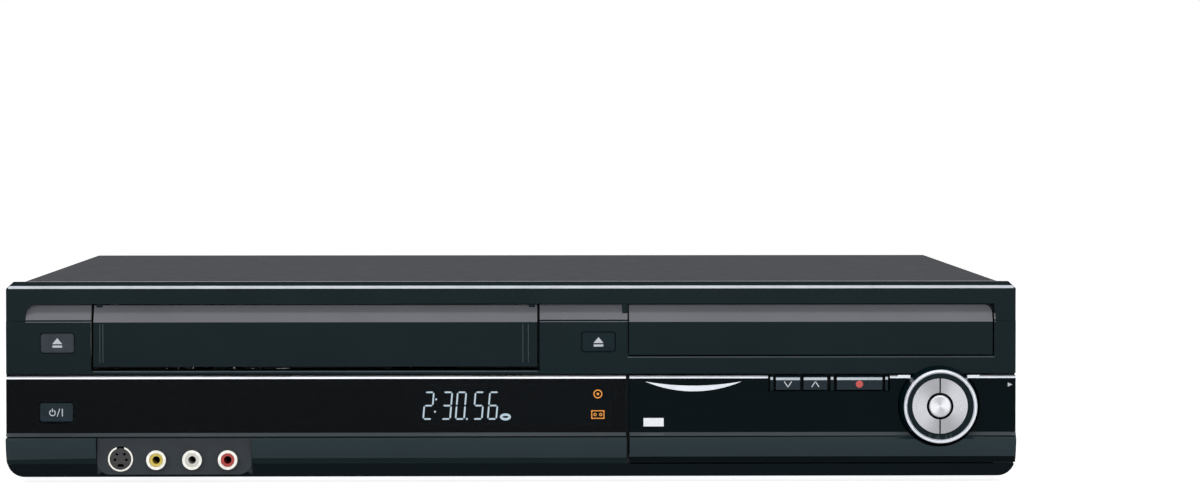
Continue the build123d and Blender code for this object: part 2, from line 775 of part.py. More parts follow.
# ---------------------------------------------------------------- disc tray and its front
disc_y = lip_y + 84.0                  # middle of the disc when the tray is in
tray_nose_y = middle_y + skin
tray_tail_y = lip_y + 190.0
tray_top = 67.5
tray_foot = 58.0
recess_floor = 61.5
tray_skin = 1.6
slot_half = 18.0                       # the turntable and the pickup pass through this slot
gear_module = 1.0
gear_teeth = 28
pinion_teeth = 10
gear_radius = gear_module * gear_teeth / 2
pinion_radius = gear_module * pinion_teeth / 2
rack_pitch_x = tray_x + 58.0
gear_x = rack_pitch_x - gear_radius
gear_y = lip_y + 34.0
rack_z = (55.0, tray_foot + 1.9)
gear_z = (55.2, 57.9)
tooth_pitch = pi * gear_module
tooth_half = 0.6 * gear_module         # half a tooth at the pitch line, less backlash
tooth_tip = 0.34 * gear_module
tooth_root = 1.0 * gear_module
addendum = 0.85 * gear_module
dedendum = 1.15 * gear_module

with BuildPart() as tray_front:
    prism(
        (tray_front_left, tray_front_right),
        (
            (middle_y, tray_front_bottom),
            (middle_y, ramp_bottom),
            (ramp_y, ramp_top - 0.1),
            (ramp_y + skin, ramp_top - 0.1),
            (ramp_y + skin, ramp_top - 1.6),
            (middle_y + skin, ramp_bottom - 1.0),
            (middle_y + skin, tray_front_bottom),
        ),
    )
    outer_corner = tray_front.edges().filter_by_position(
        Axis.X, tray_front_right - 0.01, tray_front_right + 0.01
    ).filter_by_position(Axis.Z, ramp_top - 0.11, ramp_top - 0.09)
    fillet(outer_corner, 3.6)
tray_front.part.label = "tray_front"
export_step(tray_front.part, "parts/tray_front.step")

rack_count = int((tray_travel + 20.0) / tooth_pitch)

with BuildPart() as disc_tray:
    slab(
        (tray_x - tray_width / 2, tray_x + tray_width / 2), (tray_nose_y, tray_tail_y),
        (tray_foot, tray_top), corner=1.5,
    )
    # Hollow underside: skirts all round, open at the tail.
    slab(
        (tray_x - tray_width / 2 + 2.0, tray_x + tray_width / 2 - 2.0),
        (tray_nose_y + 2.0, tray_tail_y + 1.0),
        (tray_foot, tray_top - tray_skin),
        Mode.SUBTRACT,
    )
    # Stepped recess for large and small discs.
    post(tray_x, disc_y, disc_radius + 0.6 + tray_skin, (recess_floor - 1.8, tray_top))
    post(tray_x, disc_y, disc_radius + 0.6, (recess_floor, tray_top), Mode.SUBTRACT)
    post(tray_x, disc_y, 40.6, (recess_floor - 0.7, recess_floor), Mode.SUBTRACT)
    # Round hole and long slot over the turntable and the pickup, open below the rim.
    post(tray_x, disc_y, slot_half, (tray_foot, recess_floor), Mode.SUBTRACT)
    slab(
        (tray_x - slot_half, tray_x + slot_half),
        (disc_y, disc_y + disc_radius + 0.6),
        (tray_foot, recess_floor),
        Mode.SUBTRACT,
    )
    slab(
        (tray_x - slot_half, tray_x + slot_half),
        (disc_y + disc_radius - 4.0, tray_tail_y),
        (tray_foot, tray_top - tray_skin),
        Mode.SUBTRACT,
    )
    # Tail: only the side arms run on to the rear.
    slab(
        (tray_x - tray_width / 2 + 12.0, tray_x + tray_width / 2 - 12.0),
        (disc_y + disc_radius + 7.0, tray_tail_y + 1.0),
        (tray_foot, tray_top),
        Mode.SUBTRACT,
    )
    # Finger notches in the rim, left and right.
    for side in (-1, 1):
        post(tray_x + side * (disc_radius - 1.0), disc_y, 11.0, (recess_floor, tray_top), Mode.SUBTRACT)
    # Rack under the right-hand edge, teeth towards the middle.
    slab(
        (rack_pitch_x + dedendum, rack_pitch_x + 5.0),
        (gear_y - 10.0, gear_y + tray_travel + 10.0),
        (rack_z[0], tray_top - tray_skin),
    )
    with BuildSketch(level(rack_z[0])):
        first = gear_y - tooth_pitch * 2.5
        for k in range(rack_count):
            middle = first + k * tooth_pitch
            with BuildLine():
                Polyline(
                    (rack_pitch_x + dedendum + 0.2, middle - tooth_root),
                    (rack_pitch_x - addendum, middle - tooth_tip),
                    (rack_pitch_x - addendum, middle + tooth_tip),
                    (rack_pitch_x + dedendum + 0.2, middle + tooth_root),
                    close=True,
                )
            make_face()
    extrude(amount=gear_z[1] - rack_z[0] + 0.2)
disc_tray.part.label = "disc_tray"
export_step(disc_tray.part, "parts/disc_tray.step")


def turned(point, centre, angle):
    """Point given along a spoke of a gear, turned about the gear's centre."""
    a = radians(angle)
    return (
        centre[0] + point[0] * cos(a) - point[1] * sin(a),
        centre[1] + point[0] * sin(a) + point[1] * cos(a),
    )


def gear_body(teeth, centre, first_angle, z, bore):
    """Spur gear between two heights, with a bore."""
    pitch = gear_module * teeth / 2
    with BuildSketch(level(z[0])) as outline:
        with Locations(centre):
            Circle(pitch - dedendum + 0.05)
        for k in range(teeth):
            angle = first_angle + 360.0 * k / teeth
            flank = [
                (pitch - dedendum - 0.4, -tooth_root),
                (pitch + addendum, -tooth_tip),
                (pitch + addendum, tooth_tip),
                (pitch - dedendum - 0.4, tooth_root),
            ]
            with BuildLine():
                Polyline(*[turned(corner, centre, angle) for corner in flank], close=True)
            make_face()
        if bore:
            with Locations(centre):
                Circle(bore, mode=Mode.SUBTRACT)
    extrude(outline.sketch, amount=z[1] - z[0])


gear_pin_radius = 1.5
with BuildPart() as tray_gear:
    gear_body(gear_teeth, (gear_x, gear_y), 0.0, gear_z, gear_pin_radius + fit)
    for k in range(4):
        hole_x, hole_y = turned((7.5, 0), (gear_x, gear_y), 45 + 90 * k)
        post(hole_x, hole_y, 2.2, gear_z, Mode.SUBTRACT)
tray_gear.part.label = "tray_gear"
export_step(tray_gear.part, "parts/tray_gear.step")

mesh_angle = 360.0 / gear_teeth * 15   # a gear tooth points at the pinion
mesh_distance = gear_radius + pinion_radius + 0.1
pinion_x, pinion_y = turned((mesh_distance, 0), (gear_x, gear_y), mesh_angle)
motor_shaft_radius = 1.0
motor_radius = 10.0
motor_boss_radius = 3.0
motor_z = (31.0, 44.0)
with BuildPart() as motor_pinion:
    gear_body(pinion_teeth, (pinion_x, pinion_y), mesh_angle + 180 + 180 / pinion_teeth, gear_z, 0)
    post(pinion_x, pinion_y, motor_shaft_radius, (motor_z[0] + 3.0, gear_z[1]))
motor_pinion.part.label = "motor_pinion"
export_step(motor_pinion.part, "parts/motor_pinion.step")

loader_left = tray_x - 73.5
loader_right = tray_x + 73.5
loader_front_y = lip_y + 20.5
loader_rear_y = lip_y + 197.0
loader_base = (motor_z[1], motor_z[1] + 1.6)
loader_top = 70.5

with BuildPart() as loading_motor:
    post(pinion_x, pinion_y, motor_radius, motor_z)
    post(pinion_x, pinion_y, motor_boss_radius, (motor_z[1], loader_base[1]))
    post(pinion_x, pinion_y, motor_shaft_radius + fit, (motor_z[0] + 2.5, loader_base[1]), Mode.SUBTRACT)
    fillet(loading_motor.faces().sort_by(Axis.Z)[0].edges(), 1.0)
loading_motor.part.label = "loading_motor"
export_step(loading_motor.part, "parts/loading_motor.step")

# Traverse: plate, spindle motor and two guide rods under the tray.
rod_half = 24.0
rod_radius = 1.5
rod_z = 52.6
sled_y = (disc_y + 12.0, disc_y + 38.0)
sled_travel = 33.0
traverse_z = (46.4, 48.0)
traverse_y = (disc_y - 20.0, sled_y[1] + sled_travel + 10.0)
spindle_radius = 1.0
spindle_motor_radius = 11.0

with BuildPart() as traverse_frame:
    slab((tray_x - 36.0, tray_x + 36.0), traverse_y, traverse_z, corner=3.0)
    slab(
        (tray_x - 17.0, tray_x + 17.0),
        (sled_y[0] + 2.0, sled_y[1] + sled_travel),
        traverse_z, Mode.SUBTRACT, corner=2.0,
    )
    post(tray_x, disc_y, spindle_motor_radius, (traverse_z[1], 58.5))
    post(tray_x, disc_y, spindle_radius + fit, (traverse_z[0], 58.5), Mode.SUBTRACT)
    for side in (-1, 1):
        for end in (traverse_y[0] + 2.0, traverse_y[1] - 6.0):
            rod_x = tray_x + side * rod_half
            slab((rod_x - 3.5, rod_x + 3.5), (end, end + 4.0), (traverse_z[1], rod_z + 3.0))
        barrel(tray_x + side * rod_half, rod_z, rod_radius, (traverse_y[0] + 2.0, traverse_y[1] - 2.0))
traverse_frame.part.label = "traverse_frame"
export_step(traverse_frame.part, "parts/traverse_frame.step")

with BuildPart() as turntable:
    with BuildSketch(Plane(origin=(tray_x, disc_y, 0), x_dir=(1, 0, 0), z_dir=(0, -1, 0))):
        with BuildLine():
            Polyline(
                (0, traverse_z[1] + 2.0), (spindle_radius, traverse_z[1] + 2.0),
                (spindle_radius, 60.2), (15.0, 60.2),
                (15.0, recess_floor + 0.8), (8.2, recess_floor + 0.8), (7.3, recess_floor + 1.0),
                (7.0, recess_floor + 2.2), (5.4, recess_floor + 3.0), (0, recess_floor + 3.0), close=True,
            )
        make_face()
    revolve(axis=Axis((tray_x, disc_y, 0), (0, 0, 1)))
turntable.part.label = "turntable"
export_step(turntable.part, "parts/turntable.step")

with BuildPart() as pickup_sled:
    slab((tray_x - rod_half - 4.0, tray_x + rod_half + 4.0), sled_y, (traverse_z[1] + 1.4, 55.6), corner=2.0)
    slab((tray_x - 9.0, tray_x + 9.0), (sled_y[0] + 5.0, sled_y[0] + 21.0), (55.6, 59.0), corner=1.5)
    post(tray_x, sled_y[0] + 13.0, 3.4, (59.0, 60.2))
    for side in (-1, 1):
        barrel(tray_x + side * rod_half, rod_z, rod_radius + fit, sled_y, Mode.SUBTRACT)
pickup_sled.part.label = "pickup_sled"
export_step(pickup_sled.part, "parts/pickup_sled.step")

bridge_y = (disc_y - 18.0, disc_y + 18.0)
bridge_z = (loader_top, loader_top + 1.5)
puck_radius = 12.4
with BuildPart() as clamp_bridge:
    slab((loader_left, loader_right), bridge_y, bridge_z, corner=2.0)
    post(tray_x, disc_y, puck_radius + fit, bridge_z, Mode.SUBTRACT)
    for side in (-1, 1):
        window_x = tray_x + side * 40.0
        slab(
            (window_x - 12.0, window_x + 12.0), (disc_y - 9.0, disc_y + 9.0),
            bridge_z, Mode.SUBTRACT, corner=3.0,
        )
clamp_bridge.part.label = "clamp_bridge"
export_step(clamp_bridge.part, "parts/clamp_bridge.step")

with BuildPart() as clamp_puck:
    post(tray_x, disc_y, puck_radius, (tray_top + 1.0, bridge_z[1] + 0.2))
    post(tray_x, disc_y, puck_radius + 2.2, (bridge_z[1] + 0.2, bridge_z[1] + 1.8))
    post(tray_x, disc_y, 6.0, (bridge_z[1] + 1.8, bridge_z[1] + 2.8))
    post(tray_x, disc_y, 8.2, (tray_top + 1.0, tray_top + 2.0), Mode.SUBTRACT)
clamp_puck.part.label = "clamp_puck"
export_step(clamp_puck.part, "parts/clamp_puck.step")

leg = 7.0
chassis_floor = foot_height + sheet
with BuildPart() as loader_frame:
    slab((loader_left, loader_right), (loader_front_y, loader_rear_y), loader_base)
    for left in (loader_left, loader_right - wall):
        slab((left, left + wall), (loader_front_y, loader_rear_y), (loader_base[1], loader_top))
    slab((loader_left, loader_right), (loader_rear_y - wall, loader_rear_y), (loader_base[1], 56.0))
    # Ledges under the tray's skirts and tabs over its edges.
    for side in (-1, 1):
        ledge = sorted((tray_x + side * (tray_width / 2 - 1.6), tray_x + side * 72.0))
        slab(ledge, (loader_front_y, loader_rear_y), (tray_foot - 2.0, tray_foot - play))
        for tab_y in (loader_front_y + 6.0, loader_front_y + 120.0):
            tab = sorted((tray_x + side * (tray_width / 2 - 3.0), tray_x + side * 72.0))
            slab(tab, (tab_y, tab_y + 12.0), (tray_top + play, tray_top + play + 1.4))
    # Opening over the traverse, seat for the motor, axle of the gear.
    slab(
        (tray_x - 30.0, tray_x + 30.0), (traverse_y[0] + 6.0, traverse_y[1] - 4.0),
        loader_base, Mode.SUBTRACT, corner=4.0,
    )
    for corner_x in (tray_x - 33.0, tray_x + 33.0):
        for corner_y in (traverse_y[0] + 4.0, traverse_y[1] - 4.0):
            post(corner_x, corner_y, 2.2, (loader_base[1], traverse_z[0]))
    post(pinion_x, pinion_y, motor_boss_radius + fit, loader_base, Mode.SUBTRACT)
    post(gear_x, gear_y, 3.2, (loader_base[1], gear_z[0] - play))
    post(gear_x, gear_y, gear_pin_radius, (loader_base[1], gear_z[1] + 0.4))
    # Legs down to the chassis.
    for leg_x in (loader_left, loader_right - leg):
        for leg_y in (loader_front_y, loader_rear_y - leg):
            slab((leg_x, leg_x + leg), (leg_y, leg_y + leg), (chassis_floor, loader_base[0]), corner=1.0)
loader_frame.part.label = "loader_frame"
export_step(loader_frame.part, "parts/loader_frame.step")

# ---------------------------------------------------------------- tape deck
deck_z = (20.0, 21.2)
deck_half = 99.8
deck_y = (lip_y + 18.0, lip_y + 256.0)
bracket_inner = 98.4
bracket_top = 81.0
carriage_travel = 75.0
holder_drop = 20.0
holder_y = (lip_y + 17.0, lip_y + 87.0)
holder_z = (48.2, 49.2)
holder_half = 95.9
holder_inner = 94.7
slider_y = (lip_y + 22.0, lip_y + 84.0)
slider_inner = 96.6
slider_outer = 97.8
guide_pin = 1.5
guide_slot = guide_pin + 0.12
pin_ys = (lip_y + 30.0, lip_y + 72.0)
bracket_rear_y = pin_ys[1] + carriage_travel + 21.0
rail_z = 77.0                # outward pins of the slider, in the brackets' long slots
pin_z = 71.0                 # outward pins of the holder, in the slider's upright slots
reel_y = lip_y + 100.0
reel_half = 46.0
drum_at = (deck_x, lip_y + 214.0)
drum_radius = 31.0
drum_tilt = 5.97
drum_z = 40.0                # gap between the two drums, on the axis
capstan_at = (deck_x + 60.0, lip_y + 176.0)
capstan_radius = 1.5
arm_at = (deck_x + 80.0, lip_y + 192.0)
arm_length = 22.0
roller_radius = 6.5
roller_gap = 0.3             # roller to capstan, arm fully in
arm_swing = 22.0

reach = hypot(capstan_at[0] - arm_at[0], capstan_at[1] - arm_at[1])
touch = roller_radius + capstan_radius + roller_gap
touch_angle = degrees(acos((arm_length ** 2 + reach ** 2 - touch ** 2) / (2 * arm_length * reach)))
towards_capstan = degrees(atan2(capstan_at[1] - arm_at[1], capstan_at[0] - arm_at[0]))
arm_angle = towards_capstan - touch_angle - arm_swing
roller_at = turned((arm_length, 0), arm_at, arm_angle)
arm_z = (30.0, 33.0)

with BuildPart() as deck_plate:
    slab((deck_x - deck_half, deck_x + deck_half), deck_y, deck_z, corner=3.0)
    for side in (-1, 1):
        bracket = sorted((deck_x + side * bracket_inner, deck_x + side * (bracket_inner + 1.2)))
        slab(bracket, (deck_y[0], bracket_rear_y), (deck_z[1], bracket_top))
        # Long slot for the slider's pins.
        with BuildSketch(across(bracket[0])):
            with Locations(((pin_ys[0] + pin_ys[1] + carriage_travel) / 2, rail_z)):
                SlotOverall(pin_ys[1] - pin_ys[0] + carriage_travel + 2 * guide_slot, 2 * guide_slot)
        extrude(amount=bracket[1] - bracket[0], mode=Mode.SUBTRACT)
        # Lightening window low in the bracket.
        with BuildSketch(across(bracket[0])):
            with Locations(((deck_y[0] + bracket_rear_y) / 2, 44.0)):
                RectangleRounded(100.0, 26.0, 6.0)
        extrude(amount=bracket[1] - bracket[0], mode=Mode.SUBTRACT)
    # Axles of the reel tables, bearing of the capstan, pivot of the pinch arm.
    for side in (-1, 1):
        post(deck_x + side * reel_half, reel_y, 1.5, (deck_z[1], 34.0))
    post(*capstan_at, 4.0, (deck_z[1], 29.5))
    post(*capstan_at, capstan_radius + fit, (deck_z[0], 29.5), Mode.SUBTRACT)
    post(*arm_at, 2.0, (deck_z[1], 36.0))
    # Openings pressed out under the drum and between the reels.
    post(*drum_at, 20.0, deck_z, Mode.SUBTRACT)
    slab(
        (deck_x - 16.0, deck_x + 16.0), (reel_y - 30.0, reel_y + 30.0),
        deck_z, Mode.SUBTRACT, corner=6.0,
    )
deck_plate.part.label = "deck_plate"
export_step(deck_plate.part, "parts/deck_plate.step")

drum_plane = Plane(
    origin=(drum_at[0], drum_at[1], drum_z),
    x_dir=(cos(radians(drum_tilt)), 0, -sin(radians(drum_tilt))),
    z_dir=(sin(radians(drum_tilt)), 0, cos(radians(drum_tilt))),
)
drum_shaft = 3.0
with BuildPart() as upper_drum:
    with BuildSketch(drum_plane.offset(0.3)):
        Circle(drum_radius)
    extrude(amount=15.0)
    with BuildSketch(drum_plane.offset(15.3)):
        Circle(10.0)
    extrude(amount=2.5)
    with BuildSketch(drum_plane.offset(-12.0)):
        Circle(drum_shaft)
    extrude(amount=13.0)
    with BuildSketch(drum_plane.offset(15.3)):
        with PolarLocations(20.0, 6):
            Circle(3.0)
    extrude(amount=-4.0, mode=Mode.SUBTRACT)
    with BuildSketch(drum_plane.offset(0.3)):
        with PolarLocations(drum_radius, 4):
            Rectangle(3.0, 4.0)
    extrude(amount=1.5, mode=Mode.SUBTRACT)
upper_drum.part.label = "upper_drum"
export_step(upper_drum.part, "parts/upper_drum.step")

with BuildPart() as lower_drum:
    with BuildSketch(drum_plane.offset(-14.0)):
        Circle(drum_radius)
    extrude(amount=14.0)
    with BuildSketch(drum_plane.offset(-14.0)):
        Circle(drum_shaft + fit)
    extrude(amount=14.0, mode=Mode.SUBTRACT)
    # Ruler edge: the step that leads the tape round the tilted drum.
    with BuildSketch(level(drum_z - 9.0)):
        with Locations(drum_at):
            Circle(drum_radius + 4)
            Circle(drum_radius - 0.4, mode=Mode.SUBTRACT)
    extrude(amount=20.0, mode=Mode.SUBTRACT)
    post(*drum_at, 24.0, (deck_z[1], drum_z - 8.0))
    with BuildSketch(drum_plane.offset(-12.4)):
        Circle(drum_shaft + fit)
    extrude(amount=12.4, mode=Mode.SUBTRACT)
lower_drum.part.label = "lower_drum"
export_step(lower_drum.part, "parts/lower_drum.step")

guide_spots = (
    (deck_x - 44.0, lip_y + 190.0), (deck_x + 40.0, lip_y + 186.0),
    (deck_x - 38.0, lip_y + 228.0), (deck_x + 38.0, lip_y + 228.0),
    (deck_x - 74.0, lip_y + 176.0),
)
with BuildPart() as guide_posts:
    for spot in guide_spots:
        with BuildSketch(Plane(origin=(*spot, 0), x_dir=(1, 0, 0), z_dir=(0, -1, 0))) as outline:
            with BuildLine():
                Polyline(
                    (0, deck_z[1]), (4.0, deck_z[1]), (4.0, 24.0), (2.0, 24.0), (2.0, 33.0),
                    (4.2, 33.0), (4.2, 34.5), (3.0, 34.5), (3.0, 47.0), (4.2, 47.0),
                    (4.2, 48.5), (1.5, 50.0), (0, 50.0), close=True,
                )
            make_face()
        revolve(outline.sketch, axis=Axis((*spot, 0), (0, 0, 1)))
    # Full-width erase head, and the sound and control head.
    for head_x, head_y in ((deck_x - 60.0, lip_y + 180.0), (deck_x + 50.0, lip_y + 213.0)):
        slab((head_x - 5.0, head_x + 5.0), (head_y - 4.0, head_y + 4.0), (deck_z[1], 47.0), corner=2.0)
guide_posts.part.label = "guide_posts"
export_step(guide_posts.part, "parts/guide_posts.step")

for name, side in (("supply_reel_table", -1), ("takeup_reel_table", 1)):
    with BuildPart() as reel_table:
        spot = (deck_x + side * reel_half, reel_y)
        post(*spot, 20.0, (deck_z[1] + play, 25.0))
        post(*spot, 13.0, (25.0, 27.4))
        post(*spot, 7.6, (27.4, 36.0))
        for k in range(3):
            tip = turned((8.4, 0), spot, 90 + 120 * k)
            post(*tip, 1.2, (27.4, 34.5))
        post(*spot, 1.5 + fit, (deck_z[1], 36.1), Mode.SUBTRACT)
        chamfer(reel_table.faces().sort_by(Axis.Z)[-1].edges().sort_by(SortBy.RADIUS)[-1], 1.2)
    reel_table.part.label = name
    export_step(reel_table.part, f"parts/{name}.step")

with BuildPart() as capstan:
    post(*capstan_at, capstan_radius, (8.0, 52.0))
    post(*capstan_at, 22.0, (9.0, 13.0))
    post(*capstan_at, 16.0, (13.0, 15.0))
capstan.part.label = "capstan"
export_step(capstan.part, "parts/capstan.step")

with BuildPart() as pinch_arm:
    with BuildSketch(level(arm_z[0])):
        with Locations(((arm_at[0] + roller_at[0]) / 2, (arm_at[1] + roller_at[1]) / 2)):
            SlotCenterToCenter(arm_length, 8.0, rotation=arm_angle)
    extrude(amount=arm_z[1] - arm_z[0])
    post(*arm_at, 2.0 + fit, arm_z, Mode.SUBTRACT)
    post(*roller_at, 1.2, (arm_z[1], 51.0))
pinch_arm.part.label = "pinch_arm"
export_step(pinch_arm.part, "parts/pinch_arm.step")

with BuildPart() as pinch_roller:
    post(*roller_at, roller_radius, (arm_z[1] + play, 49.0))
    post(*roller_at, 1.2 + fit, (arm_z[1] + play, 49.0), Mode.SUBTRACT)
pinch_roller.part.label = "pinch_roller"
export_step(pinch_roller.part, "parts/pinch_roller.step")

with BuildPart() as carriage_slider:
    for side in (-1, 1):
        cheek = sorted((deck_x + side * slider_inner, deck_x + side * slider_outer))
        slab(cheek, slider_y, (46.0, 80.0))
        for pin_y in pin_ys:
            with BuildSketch(across(cheek[0])):
                with Locations((pin_y, pin_z - holder_drop / 2)):
                    SlotOverall(holder_drop + 2 * guide_slot, 2 * guide_slot, rotation=90)
            extrude(amount=cheek[1] - cheek[0], mode=Mode.SUBTRACT)
        reach_out = sorted((deck_x + side * slider_outer, deck_x + side * (bracket_inner + 1.6)))
        for pin_y in pin_ys:
            with BuildSketch(across(reach_out[0])):
                with Locations((pin_y, rail_z)):
                    Circle(guide_pin)
            extrude(amount=reach_out[1] - reach_out[0])
    slab((deck_x - slider_outer, deck_x + slider_outer), (slider_y[1] - 14.0, slider_y[1]), (78.8, 80.0))
carriage_slider.part.label = "carriage_slider"
export_step(carriage_slider.part, "parts/carriage_slider.step")

with BuildPart() as cassette_holder:
    slab((deck_x - holder_half, deck_x + holder_half), holder_y, holder_z)
    for side in (-1, 1):
        cheek = sorted((deck_x + side * holder_inner, deck_x + side * holder_half))
        slab(cheek, holder_y, (holder_z[0], 76.4))
        lip = sorted((deck_x + side * 84.0, deck_x + side * holder_half))
        slab(lip, (lip_y + 44.0, holder_y[1]), (75.4, 76.4))
        reach_out = sorted((deck_x + side * holder_half, deck_x + side * (slider_outer + 0.1)))
        for pin_y in pin_ys:
            with BuildSketch(across(reach_out[0])):
                with Locations((pin_y, pin_z)):
                    Circle(guide_pin)
            extrude(amount=reach_out[1] - reach_out[0])
        # Room for the reel tables, open to the front.
        notch_y = reel_y - carriage_travel
        slab(
            (deck_x + side * reel_half - 14.0, deck_x + side * reel_half + 14.0),
            (holder_y[0] - 1.0, notch_y + 14.0), holder_z, Mode.SUBTRACT,
        )
    slab((deck_x - holder_half, deck_x + holder_half), (holder_y[1] - 9.0, holder_y[1]), (75.4, 76.4))
    for stop_x in (deck_x - 60.0, deck_x + 50.0):
        slab((stop_x, stop_x + 10.0), (holder_y[1] - 1.0, holder_y[1]), (holder_z[1], 56.0))
cassette_holder.part.label = "cassette_holder"
export_step(cassette_holder.part, "parts/cassette_holder.step")

# ---------------------------------------------------------------- front boards and display
board_span = (-sleeve_half + 3.0, split_x - wall - 3.0)
tower_left = door_left - 5.0             # the board rises beside the cassette slot
tower_right = (18.0, split_x - wall - 3.0)
with BuildPart() as front_board:
    plate(board_span, (21.5, 43.6), (board_y, board_y + board_thickness))
    plate((board_span[0], tower_left), (21.5, 66.0), (board_y, board_y + board_thickness))
    plate(tower_right, (21.5, 66.0), (board_y, board_y + board_thickness))
    plate(
        (split_x + 3.0, inner_half - 2.0), (18.0, 46.0),
        (bay_board_y, bay_board_y + board_thickness),
    )
    # A switch behind the stem of every button and key.
    switch_spots = [
        (*eject_at, board_y, switch_height), (*open_at, board_y, switch_height),
        (*power_at, board_y, low_switch_height),
    ]
    for left, right in key_spans.values():
        switch_spots.append(((left + right) / 2, sum(key_stem_z) / 2, bay_board_y, switch_height))
    for stem_x in (-dub_stem_x, 0, dub_stem_x):
        switch_spots.append((dial_at[0] + stem_x, dial_at[1], bay_board_y, switch_height))
    for x, z, seat_y, tall in switch_spots:
        plate(
            (x - switch_half, x + switch_half), (z - switch_half, z + switch_half),
            (seat_y - tall + 1.0, seat_y),
        )
        barrel(x, z, stem_radius, (seat_y - tall, seat_y - tall + 1.0))
front_board.part.label = "front_board"
export_step(front_board.part, "parts/front_board.step")

with BuildPart() as display_tube:
    plate(
        (display_opening[0][0] + 1.5, display_opening[0][1] - 1.5),
        (display_opening[1][0] + 1.2, display_opening[1][1] - 1.2),
        (window_seat_y + 1.2, board_y),
        corner=1.0,
    )
display_tube.part.label = "display_tube"
export_step(display_tube.part, "parts/display_tube.step")

# ---------------------------------------------------------------- boards and what stands on them
power_x = (loader_left + 10.0, loader_right + 1.0)
power_y = (lip_y + 236.0, lip_y + 330.0)
main_x = (loader_left + leg + 3.0, loader_right - leg - 3.0)
main_y = (loader_front_y + 2.0, lip_y + 212.0)
jack_board_x = (-150.0, power_x[0] - 12.0)
bridge_x = main_x[0] - 42.0             # left edge of the strip that joins the boards
jack_board_y = (lip_y + 264.0, panel_inner_y - 3.0)
with BuildPart() as circuit_boards:
    slab(main_x, main_y, main_board_z)
    slab((bridge_x, main_x[0]), (main_y[1] - 12.0, main_y[1]), main_board_z)
    slab((bridge_x, jack_board_x[1]), (main_y[1] - 1.0, jack_board_y[0] + 1.0), main_board_z)
    slab(jack_board_x, jack_board_y, main_board_z)
    slab(power_x, power_y, main_board_z)
circuit_boards.part.label = "circuit_boards"
export_step(circuit_boards.part, "parts/circuit_boards.step")

transformer_x = (power_x[0] + 48.0, power_x[0] + 80.0)
transformer_y = (power_y[0] + 30.0, power_y[0] + 60.0)
board_top = main_board_z[1]
with BuildPart() as transformer:
    slab(transformer_x, transformer_y, (board_top, board_top + 26.0), corner=1.0)
    slab(
        (transformer_x[0] - 4.0, transformer_x[1] + 4.0),
        (transformer_y[0] + 9.0, transformer_y[1] - 9.0),
        (board_top + 3.0, board_top + 23.0), corner=2.0,
    )
transformer.part.label = "transformer"
export_step(transformer.part, "parts/transformer.step")

with BuildPart() as board_parts:
    # Main chips, memory and the deck's servo chip.
    for x, y, half in (
        (main_x[0] + 46.0, main_y[0] + 60.0, 14.0), (main_x[0] + 86.0, main_y[0] + 60.0, 9.0),
        (main_x[0] + 66.0, main_y[0] + 130.0, 12.0), (jack_board_x[0] + 70.0, jack_board_y[0] + 20.0, 11.0),
    ):
        slab((x - half, x + half), (y - half, y + half), (board_top, board_top + 2.4))
    # Smoothing capacitors on the power board.
    for x, y, radius, tall in (
        (power_x[0] + 28.0, power_y[0] + 44.0, 11.0, 30.0),
        (power_x[1] - 42.0, power_y[0] + 20.0, 6.0, 22.0),
        (power_x[1] - 26.0, power_y[0] + 20.0, 6.0, 22.0),
    ):
        post(x, y, radius, (board_top, board_top + tall))
board_parts.part.label = "board_parts"
export_step(board_parts.part, "parts/board_parts.step")

fins = 7
fin_thickness = 1.2
sink_x = (power_x[1] - 48.0, power_x[1] - 8.0)
sink_z = (board_top, board_top + 28.0)
with BuildPart() as heat_sink:
    slab(sink_x, (power_y[0] + 44.0, power_y[0] + 46.0), sink_z)
    for k in range(fins):
        fin_x = sink_x[0] + k * (sink_x[1] - sink_x[0] - fin_thickness) / (fins - 1)
        slab((fin_x, fin_x + fin_thickness), (power_y[0] + 46.0, power_y[0] + 56.0), sink_z)
heat_sink.part.label = "heat_sink"
export_step(heat_sink.part, "parts/heat_sink.step")

with BuildPart() as tuner_can:
    slab((aerial_x - 12.0, aerial_x + 12.0), (panel_inner_y - 44.0, panel_inner_y), (board_top, 66.0))
    for z in aerial_zs:
        barrel(aerial_x, z, 4.7, (panel_inner_y - 1.0, rear_y + socket_reach))
        barrel(aerial_x, z, 5.6, (panel_inner_y - 1.0, panel_rear_y + 2.0))
        barrel(aerial_x, z, 0.9, (rear_y + socket_reach - 7.0, rear_y + socket_reach), Mode.SUBTRACT)
tuner_can.part.label = "tuner_can"
export_step(tuner_can.part, "parts/tuner_can.step")

# Metal-shelled sockets: card slot and data socket in the bay, digital picture socket at the rear.
digital_x = (-108.0, -93.0)
digital_z = (24.0, 29.6)
with BuildPart() as metal_sockets:
    for x, z, y, shell, depth in (
        (card_x, card_z, (bay_y - 0.4, bay_y + wall + 3.0), 0.4, 5.0),
        (data_x, data_z, (bay_y - 0.4, bay_board_y), 0.4, 5.0),
        (digital_x, digital_z, (panel_inner_y - 10.0, panel_rear_y + 0.4), 0.5, -8.0),
    ):
        plate(x, z, y, corner=0.6)
        mouth = (y[0], y[0] + depth) if depth > 0 else (y[1] + depth, y[1])
        plate((x[0] + shell, x[1] - shell), (z[0] + shell, z[1] - shell), mouth, Mode.SUBTRACT)
        tongue = ((z[0] + z[1]) / 2 - 0.5, (z[0] + z[1]) / 2 + 0.5)
        tongue_span = (mouth[0] + 0.8, mouth[1]) if depth > 0 else (mouth[0], mouth[1] - 0.8)
        plate((x[0] + 1.6, x[1] - 1.6), tongue, tongue_span)
metal_sockets.part.label = "metal_sockets"
export_step(metal_sockets.part, "parts/metal_sockets.step")

